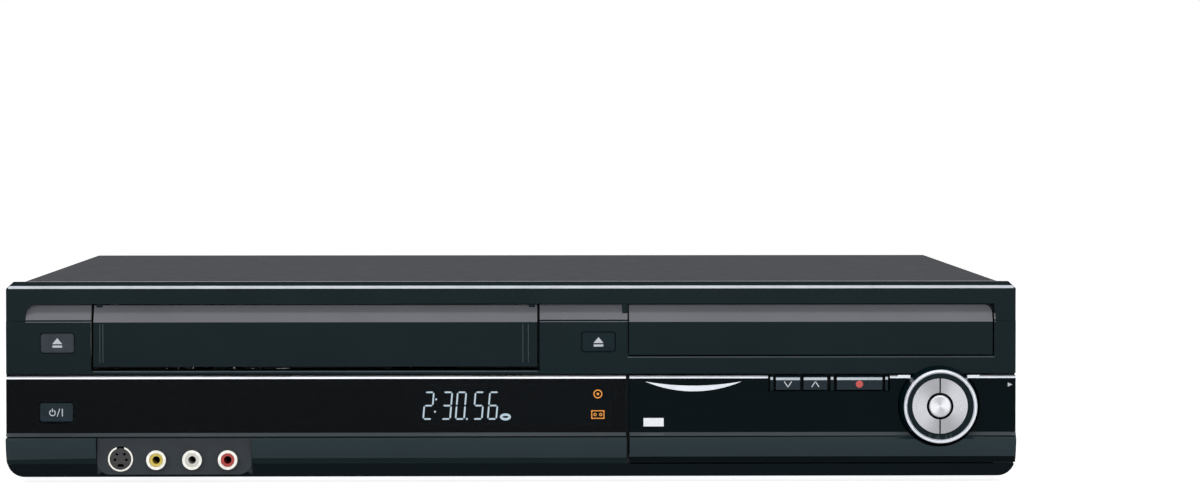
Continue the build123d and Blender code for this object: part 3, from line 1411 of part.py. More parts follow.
inlet_x = power_x[1] - 20.0
inlet_z = 26.0
inlet_half = (13.0, 9.0)
inlet_recess = 10.0
with BuildPart() as mains_inlet:
    inlet_front_y = panel_inner_y - 13.0
    plate(
        (inlet_x - inlet_half[0], inlet_x + inlet_half[0]),
        (inlet_z - inlet_half[1], inlet_z + inlet_half[1]),
        (inlet_front_y, panel_rear_y + 1.0), corner=1.5,
    )
    with BuildSketch(facing(panel_rear_y + 1.0 - inlet_recess)):
        with Locations((inlet_x, inlet_z)):
            SlotOverall(18.4, 10.4)
    extrude(amount=-inlet_recess, mode=Mode.SUBTRACT)
    for side in (-1, 1):
        barrel(inlet_x + side * 4.3, inlet_z, 1.2, (panel_rear_y + 1.0 - inlet_recess, panel_rear_y - 1.0))
mains_inlet.part.label = "mains_inlet"
export_step(mains_inlet.part, "parts/mains_inlet.step")

# ---------------------------------------------------------------- fan
fan_x = tray_x + 0.5
fan_z = 50.0
fan_half = 20.0
fan_y = (panel_inner_y - 10.0, panel_inner_y)
fan_bore = 18.6
hub_radius = 9.0
blades = 7
blade_tip = 17.2
blade_chord = 8.4
blade_pitch = radians(35)
with BuildPart() as fan_frame:
    plate((fan_x - fan_half, fan_x + fan_half), (fan_z - fan_half, fan_z + fan_half), fan_y, corner=2.0)
    barrel(fan_x, fan_z, fan_bore, fan_y, Mode.SUBTRACT)
    for turn in (0, 90):
        with BuildSketch(facing(fan_y[0])):
            with Locations(Location((fan_x, fan_z, 0), turn)):
                Rectangle(2 * fan_bore + 1.0, 2.4)
        extrude(amount=-1.6)
    barrel(fan_x, fan_z, hub_radius, (fan_y[0], fan_y[0] + 1.6))
    barrel(fan_x, fan_z, 1.5, (fan_y[0], fan_y[1] - 1.0))
fan_frame.part.label = "fan_frame"
export_step(fan_frame.part, "parts/fan_frame.step")

with BuildPart() as fan_rotor:
    barrel(fan_x, fan_z, hub_radius, (fan_y[0] + 1.9, fan_y[1] - 0.6))
    for k in range(blades):
        angle = 360.0 * k / blades
        spoke = radians(angle)
        x, z = turned(((hub_radius + blade_tip) / 2, 0), (fan_x, fan_z), angle)
        face = Plane(
            origin=(x, sum(fan_y) / 2, z), x_dir=(cos(spoke), 0, sin(spoke)),
            z_dir=(-sin(spoke) * sin(blade_pitch), cos(blade_pitch), cos(spoke) * sin(blade_pitch)),
        )
        with BuildSketch(face):
            Rectangle(blade_tip - hub_radius + 0.8, blade_chord)
        extrude(amount=0.4, both=True)
    barrel(fan_x, fan_z, 1.5 + fit, (fan_y[0] + 1.9, fan_y[1] - 0.6), Mode.SUBTRACT)
fan_rotor.part.label = "fan_rotor"
export_step(fan_rotor.part, "parts/fan_rotor.step")

# ---------------------------------------------------------------- case
chassis_half = case_width / 2 - sheet - 0.4
chassis_front_y = tongue_y + 0.3
flange_height = 16.0
foot_radius = 11.0
foot_x = chassis_half - 48.4
foot_spots = [(x, y) for x in (-foot_x, foot_x) for y in (lip_y + 48.0, rear_y - 45.0)]
deck_bosses = (
    (deck_x - 88.0, lip_y + 40.0), (deck_x + 88.0, lip_y + 40.0),
    (deck_x - 88.0, lip_y + 240.0), (deck_x + 88.0, lip_y + 240.0),
)
board_bosses = (
    (main_x[0] + 6.0, main_y[0] + 10.0), (main_x[1] - 6.0, main_y[0] + 10.0),
    (main_x[0] + 6.0, main_y[1] - 8.0), (main_x[1] - 6.0, main_y[1] - 8.0),
    (power_x[0] + 6.0, power_y[0] + 6.0), (power_x[1] - 6.0, power_y[0] + 6.0),
    (power_x[0] + 6.0, power_y[1] - 8.0), (power_x[1] - 6.0, power_y[1] - 8.0),
    (jack_board_x[0] + 6.0, jack_board_y[0] + 6.0), (jack_board_x[0] + 6.0, jack_board_y[1] - 8.0),
    (jack_board_x[1] - 6.0, jack_board_y[1] - 8.0),
)
with BuildPart() as bottom_chassis:
    slab((-chassis_half, chassis_half), (chassis_front_y, panel_inner_y - 0.2), (foot_height, chassis_floor))
    for side in (-1, 1):
        flange = sorted((side * chassis_half, side * (chassis_half - sheet)))
        slab(flange, (chassis_front_y, panel_inner_y - 0.2), (chassis_floor, flange_height))
    for spot in deck_bosses:
        post(*spot, 4.0, (chassis_floor, deck_z[0]))
    for spot in board_bosses:
        post(*spot, 3.0, (chassis_floor, main_board_z[0]))
    # Cooling slots under the boards.
    for row in range(2):
        for k in range(8):
            slot_x = main_x[0] + 20.0 + 11.0 * k
            slot_y = lip_y + 70.0 + 60.0 * row
            slab(
                (slot_x, slot_x + 3.0), (slot_y, slot_y + 30.0),
                (foot_height, chassis_floor), Mode.SUBTRACT,
            )
bottom_chassis.part.label = "bottom_chassis"
export_step(bottom_chassis.part, "parts/bottom_chassis.step")

with BuildPart() as feet:
    for x, y in foot_spots:
        with BuildSketch(Plane(origin=(x, y, 0), x_dir=(1, 0, 0), z_dir=(0, -1, 0))) as outline:
            with BuildLine():
                Polyline(
                    (0, 0), (foot_radius - 1.5, 0), (foot_radius, 1.5), (foot_radius, foot_height),
                    (0, foot_height), close=True,
                )
            make_face()
        revolve(outline.sketch, axis=Axis((x, y, 0), (0, 0, 1)))
feet.part.label = "feet"
export_step(feet.part, "parts/feet.step")

with BuildPart() as rear_panel:
    rear_half = chassis_half - 0.2
    rear_sheet = (panel_inner_y, panel_rear_y)
    plate(
        (-rear_half, rear_half), (foot_height, top_height - sheet - 0.2), rear_sheet,
        corner=sleeve_corner,
    )
    for x in rear_phono_xs:
        for z in rear_phono_z.values():
            barrel(x, z, phono_radius + 0.2, rear_sheet, Mode.SUBTRACT)
    barrel(*rear_s_video, s_video_radius + 0.2, rear_sheet, Mode.SUBTRACT)
    for z in aerial_zs:
        barrel(aerial_x, z, 5.8, rear_sheet, Mode.SUBTRACT)
    plate(
        (digital_x[0] - 0.2, digital_x[1] + 0.2), (digital_z[0] - 0.2, digital_z[1] + 0.2),
        rear_sheet, Mode.SUBTRACT,
    )
    plate(
        (inlet_x - inlet_half[0] - 0.2, inlet_x + inlet_half[0] + 0.2),
        (inlet_z - inlet_half[1] - 0.2, inlet_z + inlet_half[1] + 0.2),
        rear_sheet, Mode.SUBTRACT,
    )
    # Fan guard: slots of the ring's chord length.
    for k in range(-4, 5):
        chord = (max(fan_bore ** 2 - (k * 4.0) ** 2, 9.0)) ** 0.5 - 1.0
        slot_z = fan_z + k * 4.0
        plate((fan_x - chord, fan_x + chord), (slot_z - 1.2, slot_z + 1.2), rear_sheet, Mode.SUBTRACT)
    # Cooling slots on the tape side.
    for k in range(12):
        slot_x = 6.0 * k - rear_half + 18.2
        plate((slot_x, slot_x + 2.4), (34.0, 56.0), rear_sheet, Mode.SUBTRACT)
rear_panel.part.label = "rear_panel"
export_step(rear_panel.part, "parts/rear_panel.step")

screw_z = 11.0
screw_ys = (case_y + 36.0, rear_y - 30.0)
screw_radius = 1.5
cover_half = case_width / 2
cover_bottom = foot_height + 0.4
vent_count = 10
with BuildPart() as top_cover:
    with BuildSketch(facing(case_y)):
        with BuildLine():
            cover_line = FilletPolyline(
                (-cover_half + sheet / 2, cover_bottom), (-cover_half + sheet / 2, top_height - sheet / 2),
                (cover_half - sheet / 2, top_height - sheet / 2), (cover_half - sheet / 2, cover_bottom),
                radius=cover_radius,
            )
            offset(cover_line, amount=sheet / 2, side=Side.BOTH)
        make_face()
    extrude(amount=-case_length)
    for side in (-1, 1):
        side_x = side * cover_half
        span = sorted((side_x, side_x - side * 4.0))
        for k in range(vent_count):
            vent_y = case_y + 190.0 + 9.0 * k
            slab(span, (vent_y, vent_y + 3.0), (30.0, 62.0), Mode.SUBTRACT)
        for screw_y in screw_ys:
            with BuildSketch(across(min(span))):
                with Locations((screw_y, screw_z)):
                    Circle(screw_radius + 0.15)
            extrude(amount=4.0, mode=Mode.SUBTRACT)
top_cover.part.label = "top_cover"
export_step(top_cover.part, "parts/top_cover.step")

with BuildPart() as cover_screws:
    for side in (-1, 1):
        for screw_y in screw_ys:
            head = sorted((side * cover_half, side * (cover_half + 1.6)))
            shank = sorted((side * (chassis_half + 0.05), side * cover_half))
            for span, radius in ((head, 3.2), (shank, screw_radius)):
                with BuildSketch(across(span[0])):
                    with Locations((screw_y, screw_z)):
                        Circle(radius)
                extrude(amount=span[1] - span[0])
cover_screws.part.label = "cover_screws"
export_step(cover_screws.part, "parts/cover_screws.step")
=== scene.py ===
import bpy
from math import cos, pi, radians, sin
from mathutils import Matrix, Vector


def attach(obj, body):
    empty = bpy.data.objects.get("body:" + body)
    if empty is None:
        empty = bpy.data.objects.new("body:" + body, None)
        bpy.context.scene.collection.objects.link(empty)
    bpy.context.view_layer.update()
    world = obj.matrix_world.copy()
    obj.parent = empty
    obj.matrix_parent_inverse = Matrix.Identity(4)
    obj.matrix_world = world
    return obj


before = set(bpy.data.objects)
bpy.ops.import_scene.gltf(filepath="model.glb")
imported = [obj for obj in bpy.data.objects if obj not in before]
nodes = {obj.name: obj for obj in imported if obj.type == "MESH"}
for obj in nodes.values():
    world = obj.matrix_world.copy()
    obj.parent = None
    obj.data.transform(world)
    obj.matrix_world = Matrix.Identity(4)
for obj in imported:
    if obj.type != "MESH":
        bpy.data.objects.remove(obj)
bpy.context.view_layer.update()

MM = 0.001

# Depths of the front faces (Y, in mm).
MIDDLE_Y = -167.7            # face between the scoop and the window, cassette door, tray front
WINDOW_Y = -168.0            # smoked window and drop-down door
TUBE_Y = -164.4              # face of the display tube behind the window
SMALL_KEY_Y = -167.8         # keys in the door's notch
EJECT_Y = -168.4             # faces of the two tray and cassette buttons
POWER_Y = -168.7
HALF_KEY_Y = -173.8          # half-ring keys of the round control

# Middles of the controls on the front (X and Z, in mm).
DIAL = (182.1, 32.8)
EJECT = (-193.2, 59.7)
OPEN_CLOSE = (36.8, 60.0)
POWER = (-193.6, 30.2)

# Heights (Z, in mm) and slopes (sine) of the front's faces that carry painted light or shade of their own.
SLOPE_LEVELS, SLOPE_TILT = (68.0, 76.2), (0.4, 0.65)
STRIP_LEVELS, STRIP_TILT = (2.0, 7.9), (-0.4, 0.1)
LIP_LEVELS, TOP_LINE_LEVELS, ANY_TILT = (8.2, 19.5), (82.0, 84.5), (-0.5, 0.95)
WINDOW_EDGE_LEVELS, DOOR_EDGE_LEVELS, EDGE_TILT = (19.8, 21.6), (19.6, 21.6), (0.4, 0.95)

# A printed mark: how far it stands proud of its face, and its thickness (mm).
INK_PROUD, INK_THICKNESS = 0.05, 0.1
HAIRLINE_PROUD, HAIRLINE_THICKNESS = 0.03, 0.06


# ---------------------------------------------------------------- colours and nodes
def tone(code):
    """Turns an sRGB hex value into the linear colour that a shader takes."""
    channels = [int(code[k:k + 2], 16) / 255 for k in (0, 2, 4)]
    return tuple(c / 12.92 if c <= 0.04045 else ((c + 0.055) / 1.055) ** 2.4 for c in channels) + (1.0,)


def per_metre(size_mm):
    """Texture scale that repeats a pattern once in that many millimetres."""
    return 1000.0 / size_mm


def put(tree, kind, sockets=None, **settings):
    """Adds a node to the tree, sets its properties, and sets or links its inputs."""
    made = tree.nodes.new(kind)
    for name, value in settings.items():
        setattr(made, name, value)
    for key, value in (sockets or {}).items():
        if isinstance(value, bpy.types.NodeSocket):
            tree.links.new(value, made.inputs[key])
        else:
            made.inputs[key].default_value = value
    return made


def finish(name, colour, roughness, metallic=0.0, specular=0.5, **more):
    """Starts a material: returns it with its tree, its shader and the object's own coordinates."""
    material = bpy.data.materials.new(name)
    material.use_nodes = True
    tree = material.node_tree
    tree.nodes.clear()
    shader = put(tree, "ShaderNodeBsdfPrincipled", {
        "Base Color": tone(colour), "Roughness": roughness, "Metallic": metallic,
        "Specular IOR Level": specular, **more,
    })
    put(tree, "ShaderNodeOutputMaterial", {"Surface": shader.outputs[0]})
    place = put(tree, "ShaderNodeTexCoord").outputs["Object"]
    return material, tree, shader, place


def mottle(tree, shader, place, low, high, size_mm, detail=3.0):
    """Lets the colour drift between two tones over patches of that size."""
    noise = put(tree, "ShaderNodeTexNoise", {"Vector": place, "Scale": per_metre(size_mm), "Detail": detail})
    ramp = put(tree, "ShaderNodeValToRGB", {"Fac": noise.outputs["Fac"]})
    ramp.color_ramp.elements[0].position, ramp.color_ramp.elements[1].position = 0.3, 0.7
    ramp.color_ramp.elements[0].color, ramp.color_ramp.elements[1].color = tone(low), tone(high)
    tree.links.new(ramp.outputs["Color"], shader.inputs["Base Color"])
    return ramp


def uneven_gloss(tree, shader, place, low, high, size_mm, detail=2.0):
    """Lets the roughness drift between two values over patches of that size."""
    noise = put(tree, "ShaderNodeTexNoise", {"Vector": place, "Scale": per_metre(size_mm), "Detail": detail})
    spread = put(tree, "ShaderNodeMapRange", {
        "Value": noise.outputs["Fac"], "From Min": 0.3, "From Max": 0.7, "To Min": low, "To Max": high,
    })
    tree.links.new(spread.outputs["Result"], shader.inputs["Roughness"])


def relief(tree, shader, height, depth_mm, strength=1.0):
    """Raises the surface by a height pattern of that depth."""
    bump = put(tree, "ShaderNodeBump", {"Height": height, "Distance": depth_mm * MM, "Strength": strength})
    tree.links.new(bump.outputs["Normal"], shader.inputs["Normal"])
    return bump


# ---------------------------------------------------------------- front panel finishes
# Gloss ABS, moulded in a polished tool: near black with a cold cast, a clear reflection that
# wavers a little over a few millimetres, as moulded gloss plastic does.
panel_abs, tree, shader, place = finish("moulded_gloss_abs", "04191e", 0.22, specular=0.09)
mottle(tree, shader, place, "03171c", "051b20", 60.0)
uneven_gloss(tree, shader, place, 0.2, 0.25, 25.0)
waver = put(tree, "ShaderNodeTexNoise", {"Vector": place, "Scale": per_metre(4.0), "Detail": 1.0})
relief(tree, shader, waver.outputs["Fac"], 0.004, 0.35)

# Painted reflection on the slope under the upper band: a neutral satin grey, much lighter than the
# gloss plastic round it, that paints in the overhead light the slope mirrors.
painted_slope_reflection, tree, shader, place = finish("slope_painted_reflection_grey", "6e6f75", 0.42, specular=0.3)
mottle(tree, shader, place, "6b6c72", "717278", 40.0)
uneven_gloss(tree, shader, place, 0.39, 0.46, 15.0)
slope_grain = put(tree, "ShaderNodeTexNoise", {"Vector": place, "Scale": per_metre(0.8), "Detail": 2.0})
relief(tree, shader, slope_grain.outputs["Fac"], 0.008, 0.4)

# Lip under the window and foot of the door: the panel's gloss plastic in a paler tone, a painted
# reflection of the light that its curve turns up to.
painted_lip_reflection, tree, shader, place = finish("gloss_lip_painted_reflection", "1b2e34", 0.24, specular=0.2)
mottle(tree, shader, place, "192c32", "1d3036", 60.0)
uneven_gloss(tree, shader, place, 0.2, 0.27, 25.0)

# Painted shade on the strip along the table: a darker, matt copy of the panel plastic, so that it sinks into
# the shadow under the player.
painted_strip_shade, tree, shader, place = finish("matt_strip_painted_shade", "050f13", 0.5, specular=0.05)
mottle(tree, shader, place, "040d11", "061116", 30.0)
grain = put(tree, "ShaderNodeTexVoronoi", {"Vector": place, "Scale": per_metre(0.7)})
relief(tree, shader, grain.outputs["Distance"], 0.02, 0.5)

# Painted highlight on the edge of the smoked acrylic: a paler line along the foot of the window, where its
# bevel faces the light above.
painted_window_edge_highlight, tree, shader, place = finish("smoked_edge_painted_highlight", "4b5458", 0.15, specular=0.3)
mottle(tree, shader, place, "475054", "4f575c", 50.0)
uneven_gloss(tree, shader, place, 0.12, 0.2, 20.0)


# Painted highlight on the rounded edge of the panel's openings and of the two bays: a pale hairline where the
# edge catches the light.
painted_edge_highlight, tree, shader, place = finish("abs_edge_painted_highlight", "3c494d", 0.2, specular=0.3)
mottle(tree, shader, place, "39454a", "404d51", 20.0)
uneven_gloss(tree, shader, place, 0.16, 0.25, 10.0)


def button_plastic(name, colour, low, high, specular):
    """Gloss ABS of a button or key: fine moulded grain, a tone that sets it off from the panel."""
    material, tree, shader, place = finish(name, colour, 0.28, specular=specular)
    mottle(tree, shader, place, low, high, 6.0)
    uneven_gloss(tree, shader, place, 0.24, 0.34, 5.0)
    grain = put(tree, "ShaderNodeTexNoise", {"Vector": place, "Scale": per_metre(0.5), "Detail": 2.0})
    relief(tree, shader, grain.outputs["Fac"], 0.01, 0.4)
    return material


# The eject button is the palest, the power button and the small keys sit between it and the panel.
pale_button_abs = button_plastic("moulded_pale_button_abs", "2c333b", "282f37", "30373f", 0.18)
mid_button_abs = button_plastic("moulded_mid_button_abs", "11232b", "0f2129", "13252d", 0.13)
dark_button_abs = button_plastic("moulded_dark_button_abs", "0a1e24", "081c22", "0c2026", 0.08)

# Smoked acrylic: mirror smooth, lets a little of the display through and hides the rest.
smoked_acrylic, tree, shader, place = finish(
    "smoked_acrylic", "364651", 0.03, specular=0.1, **{"Transmission Weight": 0.95, "IOR": 1.13},
)
mottle(tree, shader, place, "33424d", "394a55", 80.0)
uneven_gloss(tree, shader, place, 0.02, 0.05, 30.0)

# Gloss door over the bay: the window's tone rather than the panel's, polished a little further.
door_abs, tree, shader, place = finish("moulded_door_abs", "030f13", 0.14, specular=0.035)
mottle(tree, shader, place, "020d11", "041115", 70.0)
uneven_gloss(tree, shader, place, 0.12, 0.17, 25.0)
waver = put(tree, "ShaderNodeTexNoise", {"Vector": place, "Scale": per_metre(6.0), "Detail": 1.0})
relief(tree, shader, waver.outputs["Fac"], 0.003, 0.3)

# Satin ABS of the jack plate: fine moulded grain, greyer and duller than the panel.
satin_abs, tree, shader, place = finish("moulded_satin_abs", "2a3036", 0.5, specular=0.2)
mottle(tree, shader, place, "272d33", "2d343a", 8.0)
grain = put(tree, "ShaderNodeTexVoronoi", {"Vector": place, "Scale": per_metre(0.6)})
relief(tree, shader, grain.outputs["Distance"], 0.03, 0.6)

# Satin silver plating on the bright lines: pale metal, soft reflection, faint lengthwise lines.
silver_plate, tree, shader, place = finish("satin_silver_plating", "c9ccd3", 0.28, metallic=1.0)
stretch = put(tree, "ShaderNodeMapping", {"Vector": place, "Scale": (0.02, 1.0, 1.0)})
lines = put(tree, "ShaderNodeTexNoise", {
    "Vector": stretch.outputs[0], "Scale": per_metre(0.4), "Detail": 3.0,
})
uneven_gloss(tree, shader, place, 0.24, 0.34, 40.0)
relief(tree, shader, lines.outputs["Fac"], 0.006, 0.4)


def darker_plating(name, colour, low, high, roughness):
    """The same plating in a darker tone, which reads greyer and duller: painted shade."""
    material, tree, shader, place = finish(name, colour, roughness, metallic=1.0)
    mottle(tree, shader, place, low, high, 8.0)
    uneven_gloss(tree, shader, place, roughness - 0.04, roughness + 0.05, 12.0)
    return material


# Darker copies of the plating that paint shade: the top line faces the light squarely, the crescent and the
# door's line a little less.
top_line_plating_shade = darker_plating("top_line_silver_painted_shade", "8f9399", "8b8f95", "93979d", 0.32)
door_plate = darker_plating("door_line_silver_painted_shade", "acb0b6", "a8acb2", "b0b4ba", 0.32)

# The narrow bright edges of the small keys, in a darker copy of the plating that paints shade on them.
key_cap_plating_shade = darker_plating("key_cap_silver_painted_shade", "8b9096", "868b91", "90959b", 0.38)


def turned_finish(name, colour):
    """Aluminium turned on a lathe: rings round the middle of the control draw its light out into
    two bright fans. They are drawn 0.35 mm apart, coarser than real, so that they show."""
    material, tree, shader, place = finish(name, colour, 0.32, metallic=1.0, **{"Anisotropic": 0.75})
    middle = (DIAL[0] * MM, 0.0, DIAL[1] * MM)
    spoke = put(tree, "ShaderNodeVectorMath", {0: place, 1: middle}, operation="SUBTRACT").outputs[0]
    flat = put(tree, "ShaderNodeVectorMath", {0: spoke, 1: (1.0, 0.0, 1.0)}, operation="MULTIPLY").outputs[0]
    radius = put(tree, "ShaderNodeVectorMath", {0: flat}, operation="LENGTH")
    along = put(tree, "ShaderNodeVectorMath", {0: flat, 1: (0.0, 1.0, 0.0)}, operation="CROSS_PRODUCT")
    tree.links.new(along.outputs[0], shader.inputs["Tangent"])
    rings = put(tree, "ShaderNodeTexNoise", {
        "W": radius.outputs["Value"], "Scale": per_metre(0.35), "Detail": 2.0,
    }, noise_dimensions="1D")
    relief(tree, shader, rings.outputs["Fac"], 0.01, 0.5)
    uneven_gloss(tree, shader, place, 0.28, 0.36, 3.0)
    return material


turned_aluminium = turned_finish("turned_aluminium", "a9aaae")
turned_grey_aluminium = turned_finish("turned_grey_aluminium", "909195")

# ---------------------------------------------------------------- case and chassis finishes
# Steel sheet with baked black enamel: fine orange-peel texture that spreads the light.
black_enamel, tree, shader, place = finish("textured_black_enamel", "1f2229", 0.6, specular=0.045)
mottle(tree, shader, place, "1d2027", "21242b", 12.0)
peel = put(tree, "ShaderNodeTexNoise", {"Vector": place, "Scale": per_metre(0.9), "Detail": 3.0})
relief(tree, shader, peel.outputs["Fac"], 0.03, 0.5)
uneven_gloss(tree, shader, place, 0.57, 0.63, 6.0)

# Deck sheet blackened by a phosphate bath, so that nothing glints through the cassette slot.
phosphated_steel, tree, shader, place = finish("phosphated_steel", "222325", 0.55, metallic=0.6)
mottle(tree, shader, place, "1d1e20", "2a2b2e", 5.0)
uneven_gloss(tree, shader, place, 0.5, 0.62, 3.0)
grit = put(tree, "ShaderNodeTexNoise", {"Vector": place, "Scale": per_metre(0.6), "Detail": 2.0})
relief(tree, shader, grit.outputs["Fac"], 0.01, 0.4)

# Zinc-plated steel sheet: cool grey, with the faint leafy patches of plating and rolling lines.
zinc_steel, tree, shader, place = finish("zinc_plated_steel", "a9adb1", 0.38, metallic=1.0)
leaves = put(tree, "ShaderNodeTexVoronoi", {"Vector": place, "Scale": per_metre(7.0)}, feature="F1")
shade = put(tree, "ShaderNodeValToRGB", {"Fac": leaves.outputs["Color"]})
shade.color_ramp.elements[0].color, shade.color_ramp.elements[1].color = tone("9ea2a6"), tone("b6babd")
tree.links.new(shade.outputs["Color"], shader.inputs["Base Color"])
rolled = put(tree, "ShaderNodeMapping", {"Vector": place, "Scale": (1.0, 0.03, 1.0)})
lines = put(tree, "ShaderNodeTexNoise", {"Vector": rolled.outputs[0], "Scale": per_metre(0.5), "Detail": 2.0})
relief(tree, shader, lines.outputs["Fac"], 0.008, 0.3)
uneven_gloss(tree, shader, place, 0.32, 0.46, 9.0)

# Machined and polished aluminium of the drums, guides and capstan: turning lines round the axis.
polished_metal, tree, shader, place = finish("polished_metal", "c9cbce", 0.16, metallic=1.0)
lines = put(tree, "ShaderNodeTexNoise", {"Vector": place, "Scale": per_metre(0.6), "Detail": 3.0})
relief(tree, shader, lines.outputs["Fac"], 0.004, 0.3)
uneven_gloss(tree, shader, place, 0.12, 0.22, 5.0)

# Nickel plating on brass shells: warm bright metal, slightly dulled by handling.
nickel, tree, shader, place = finish("nickel_plating", "cdccc6", 0.2, metallic=1.0)
mottle(tree, shader, place, "c2c1ba", "d6d5d0", 2.0)
uneven_gloss(tree, shader, place, 0.15, 0.3, 1.5)

# ---------------------------------------------------------------- plastics and rubber
# Glossy polypropylene insert of each phono socket, one colour each.
insert_finishes = {}
for hue, low, high in (
    ("yellow", "cdb43c", "dfc95a"), ("white", "d6d4cc", "e4e3dc"), ("red", "a8241f", "bf352e"),
):
    insert_finishes[hue], tree, shader, place = finish(f"moulded_{hue}_polypropylene", high, 0.35)
    mottle(tree, shader, place, low, high, 3.0)
    uneven_gloss(tree, shader, place, 0.3, 0.42, 1.0)

# Black ABS with a spark-eroded tool texture, for the pieces that stay out of sight.
black_abs, tree, shader, place = finish("moulded_black_abs", "17181a", 0.48, specular=0.4)
mottle(tree, shader, place, "141517", "1c1d20", 10.0)
grain = put(tree, "ShaderNodeTexVoronoi", {"Vector": place, "Scale": per_metre(0.7)})
relief(tree, shader, grain.outputs["Distance"], 0.03, 0.5)

# Glass-filled polycarbonate of the loader and the reels: mid grey, a little streaky.
grey_polycarbonate, tree, shader, place = finish("moulded_grey_polycarbonate", "54565a", 0.42)
drawn = put(tree, "ShaderNodeMapping", {"Vector": place, "Scale": (1.0, 0.2, 1.0)})
mottle(tree, shader, drawn.outputs[0], "4d4f53", "5c5e62", 9.0)
uneven_gloss(tree, shader, place, 0.36, 0.5, 4.0)

# Acetal gears: milky white, waxy.
acetal, tree, shader, place = finish("moulded_acetal", "dedcd2", 0.35)
mottle(tree, shader, place, "d6d3c7", "e4e2d9", 4.0)
uneven_gloss(tree, shader, place, 0.3, 0.42, 3.0)

# Rubber of the feet and the pinch roller: black, dull, with a little dust in its pores.
rubber, tree, shader, place = finish("moulded_rubber", "1d1d1e", 0.75, specular=0.3)
mottle(tree, shader, place, "181819", "27272a", 2.0)
pores = put(tree, "ShaderNodeTexVoronoi", {"Vector": place, "Scale": per_metre(0.8)})
relief(tree, shader, pores.outputs["Distance"], 0.04, 0.5)

# Epoxy glass laminate under green solder mask: copper runs show through as lighter lines.
solder_mask, tree, shader, place = finish("green_solder_mask", "1d5a36", 0.3)
bricks = put(tree, "ShaderNodeTexBrick", {
    "Vector": place, "Color1": tone("1b5533"), "Color2": tone("20603a"), "Mortar": tone("2f7a4a"),
    "Scale": per_metre(12.0), "Mortar Size": 0.04, "Brick Width": 0.6, "Row Height": 0.22,
})
tree.links.new(bricks.outputs["Color"], shader.inputs["Base Color"])
relief(tree, shader, bricks.outputs["Fac"], 0.03, 0.5)
uneven_gloss(tree, shader, place, 0.25, 0.36, 12.0)

# Glass of the display tube: near black, with the fine grid of its electrodes.
display_glass, tree, shader, place = finish("display_tube_glass", "06090a", 0.08, specular=0.3)
mesh = put(tree, "ShaderNodeTexWave", {
    "Vector": place, "Scale": per_metre(1.2) / (2 * pi),
}, bands_direction="X")
shade = put(tree, "ShaderNodeValToRGB", {"Fac": mesh.outputs["Fac"]})
shade.color_ramp.elements[0].color, shade.color_ramp.elements[1].color = tone("05080a"), tone("0a0f11")
tree.links.new(shade.outputs["Color"], shader.inputs["Base Color"])

# Ferrite transformer wound in yellow polyester tape, lapped every 5 mm.
winding_tape, tree, shader, place = finish("polyester_winding_tape", "c9a23a", 0.32)
laps = put(tree, "ShaderNodeTexWave", {
    "Vector": place, "Scale": per_metre(5.0) / (2 * pi),
}, bands_direction="Z", wave_profile="SAW")
shade = put(tree, "ShaderNodeValToRGB", {"Fac": laps.outputs["Fac"]})
shade.color_ramp.elements[0].color, shade.color_ramp.elements[1].color = tone("b38c2b"), tone("d2ad47")
tree.links.new(shade.outputs["Color"], shader.inputs["Base Color"])
relief(tree, shader, laps.outputs["Fac"], 0.05, 0.6)

# ---------------------------------------------------------------- prints and lights
# White pad-printed ink: matt, its tone a little uneven.
white_ink, tree, shader, place = finish("white_pad_ink", "ccd3da", 0.6, specular=0.3)
mottle(tree, shader, place, "bcc4cb", "d4dae0", 0.4)

# Blank label film: satin white polyester, a little cold, with a faint glow of its own that is painted light.
label_sheet_painted_glow, tree, shader, place = finish(
    "white_label_painted_glow", "e8ecf2", 0.45, **{"Emission Color": tone("e8ecf2"), "Emission Strength": 0.15},
)
mottle(tree, shader, place, "e2e6ec", "eef1f6", 1.5)

# Pale ink in the engraved marks of the metal keys, barely lighter than the metal.
grey_ink, tree, shader, place = finish("grey_engraving_ink", "eceef0", 0.5, specular=0.3)
mottle(tree, shader, place, "dddfe1", "f2f3f4", 0.4)

# Red acrylic lens on the record key, with a faint glow of its own that is painted light.
record_lens_painted_glow, tree, shader, place = finish(
    "red_acrylic_dot_painted_glow", "c0403a", 0.25, **{"Emission Color": tone("c8453f"), "Emission Strength": 0.1},
)
mottle(tree, shader, place, "b23732", "ca4a43", 1.0)

# Lit phosphor of the display, even and not glaring. It shines warmer and stronger than it looks,
# because the smoked window before it takes out most of the light and the red first.
lit_phosphor, tree, shader, place = finish(
    "lit_phosphor", "a4afb6", 0.6, **{"Emission Color": tone("ffe0cf"), "Emission Strength": 15.0},
)
mottle(tree, shader, place, "93a5af", "a9b9c2", 1.5)
amber_phosphor, tree, shader, place = finish(
    "amber_phosphor", "b06a2c", 0.6, **{"Emission Color": tone("ff8735"), "Emission Strength": 25.0},
)
mottle(tree, shader, place, "a05e25", "bd7735", 1.5)

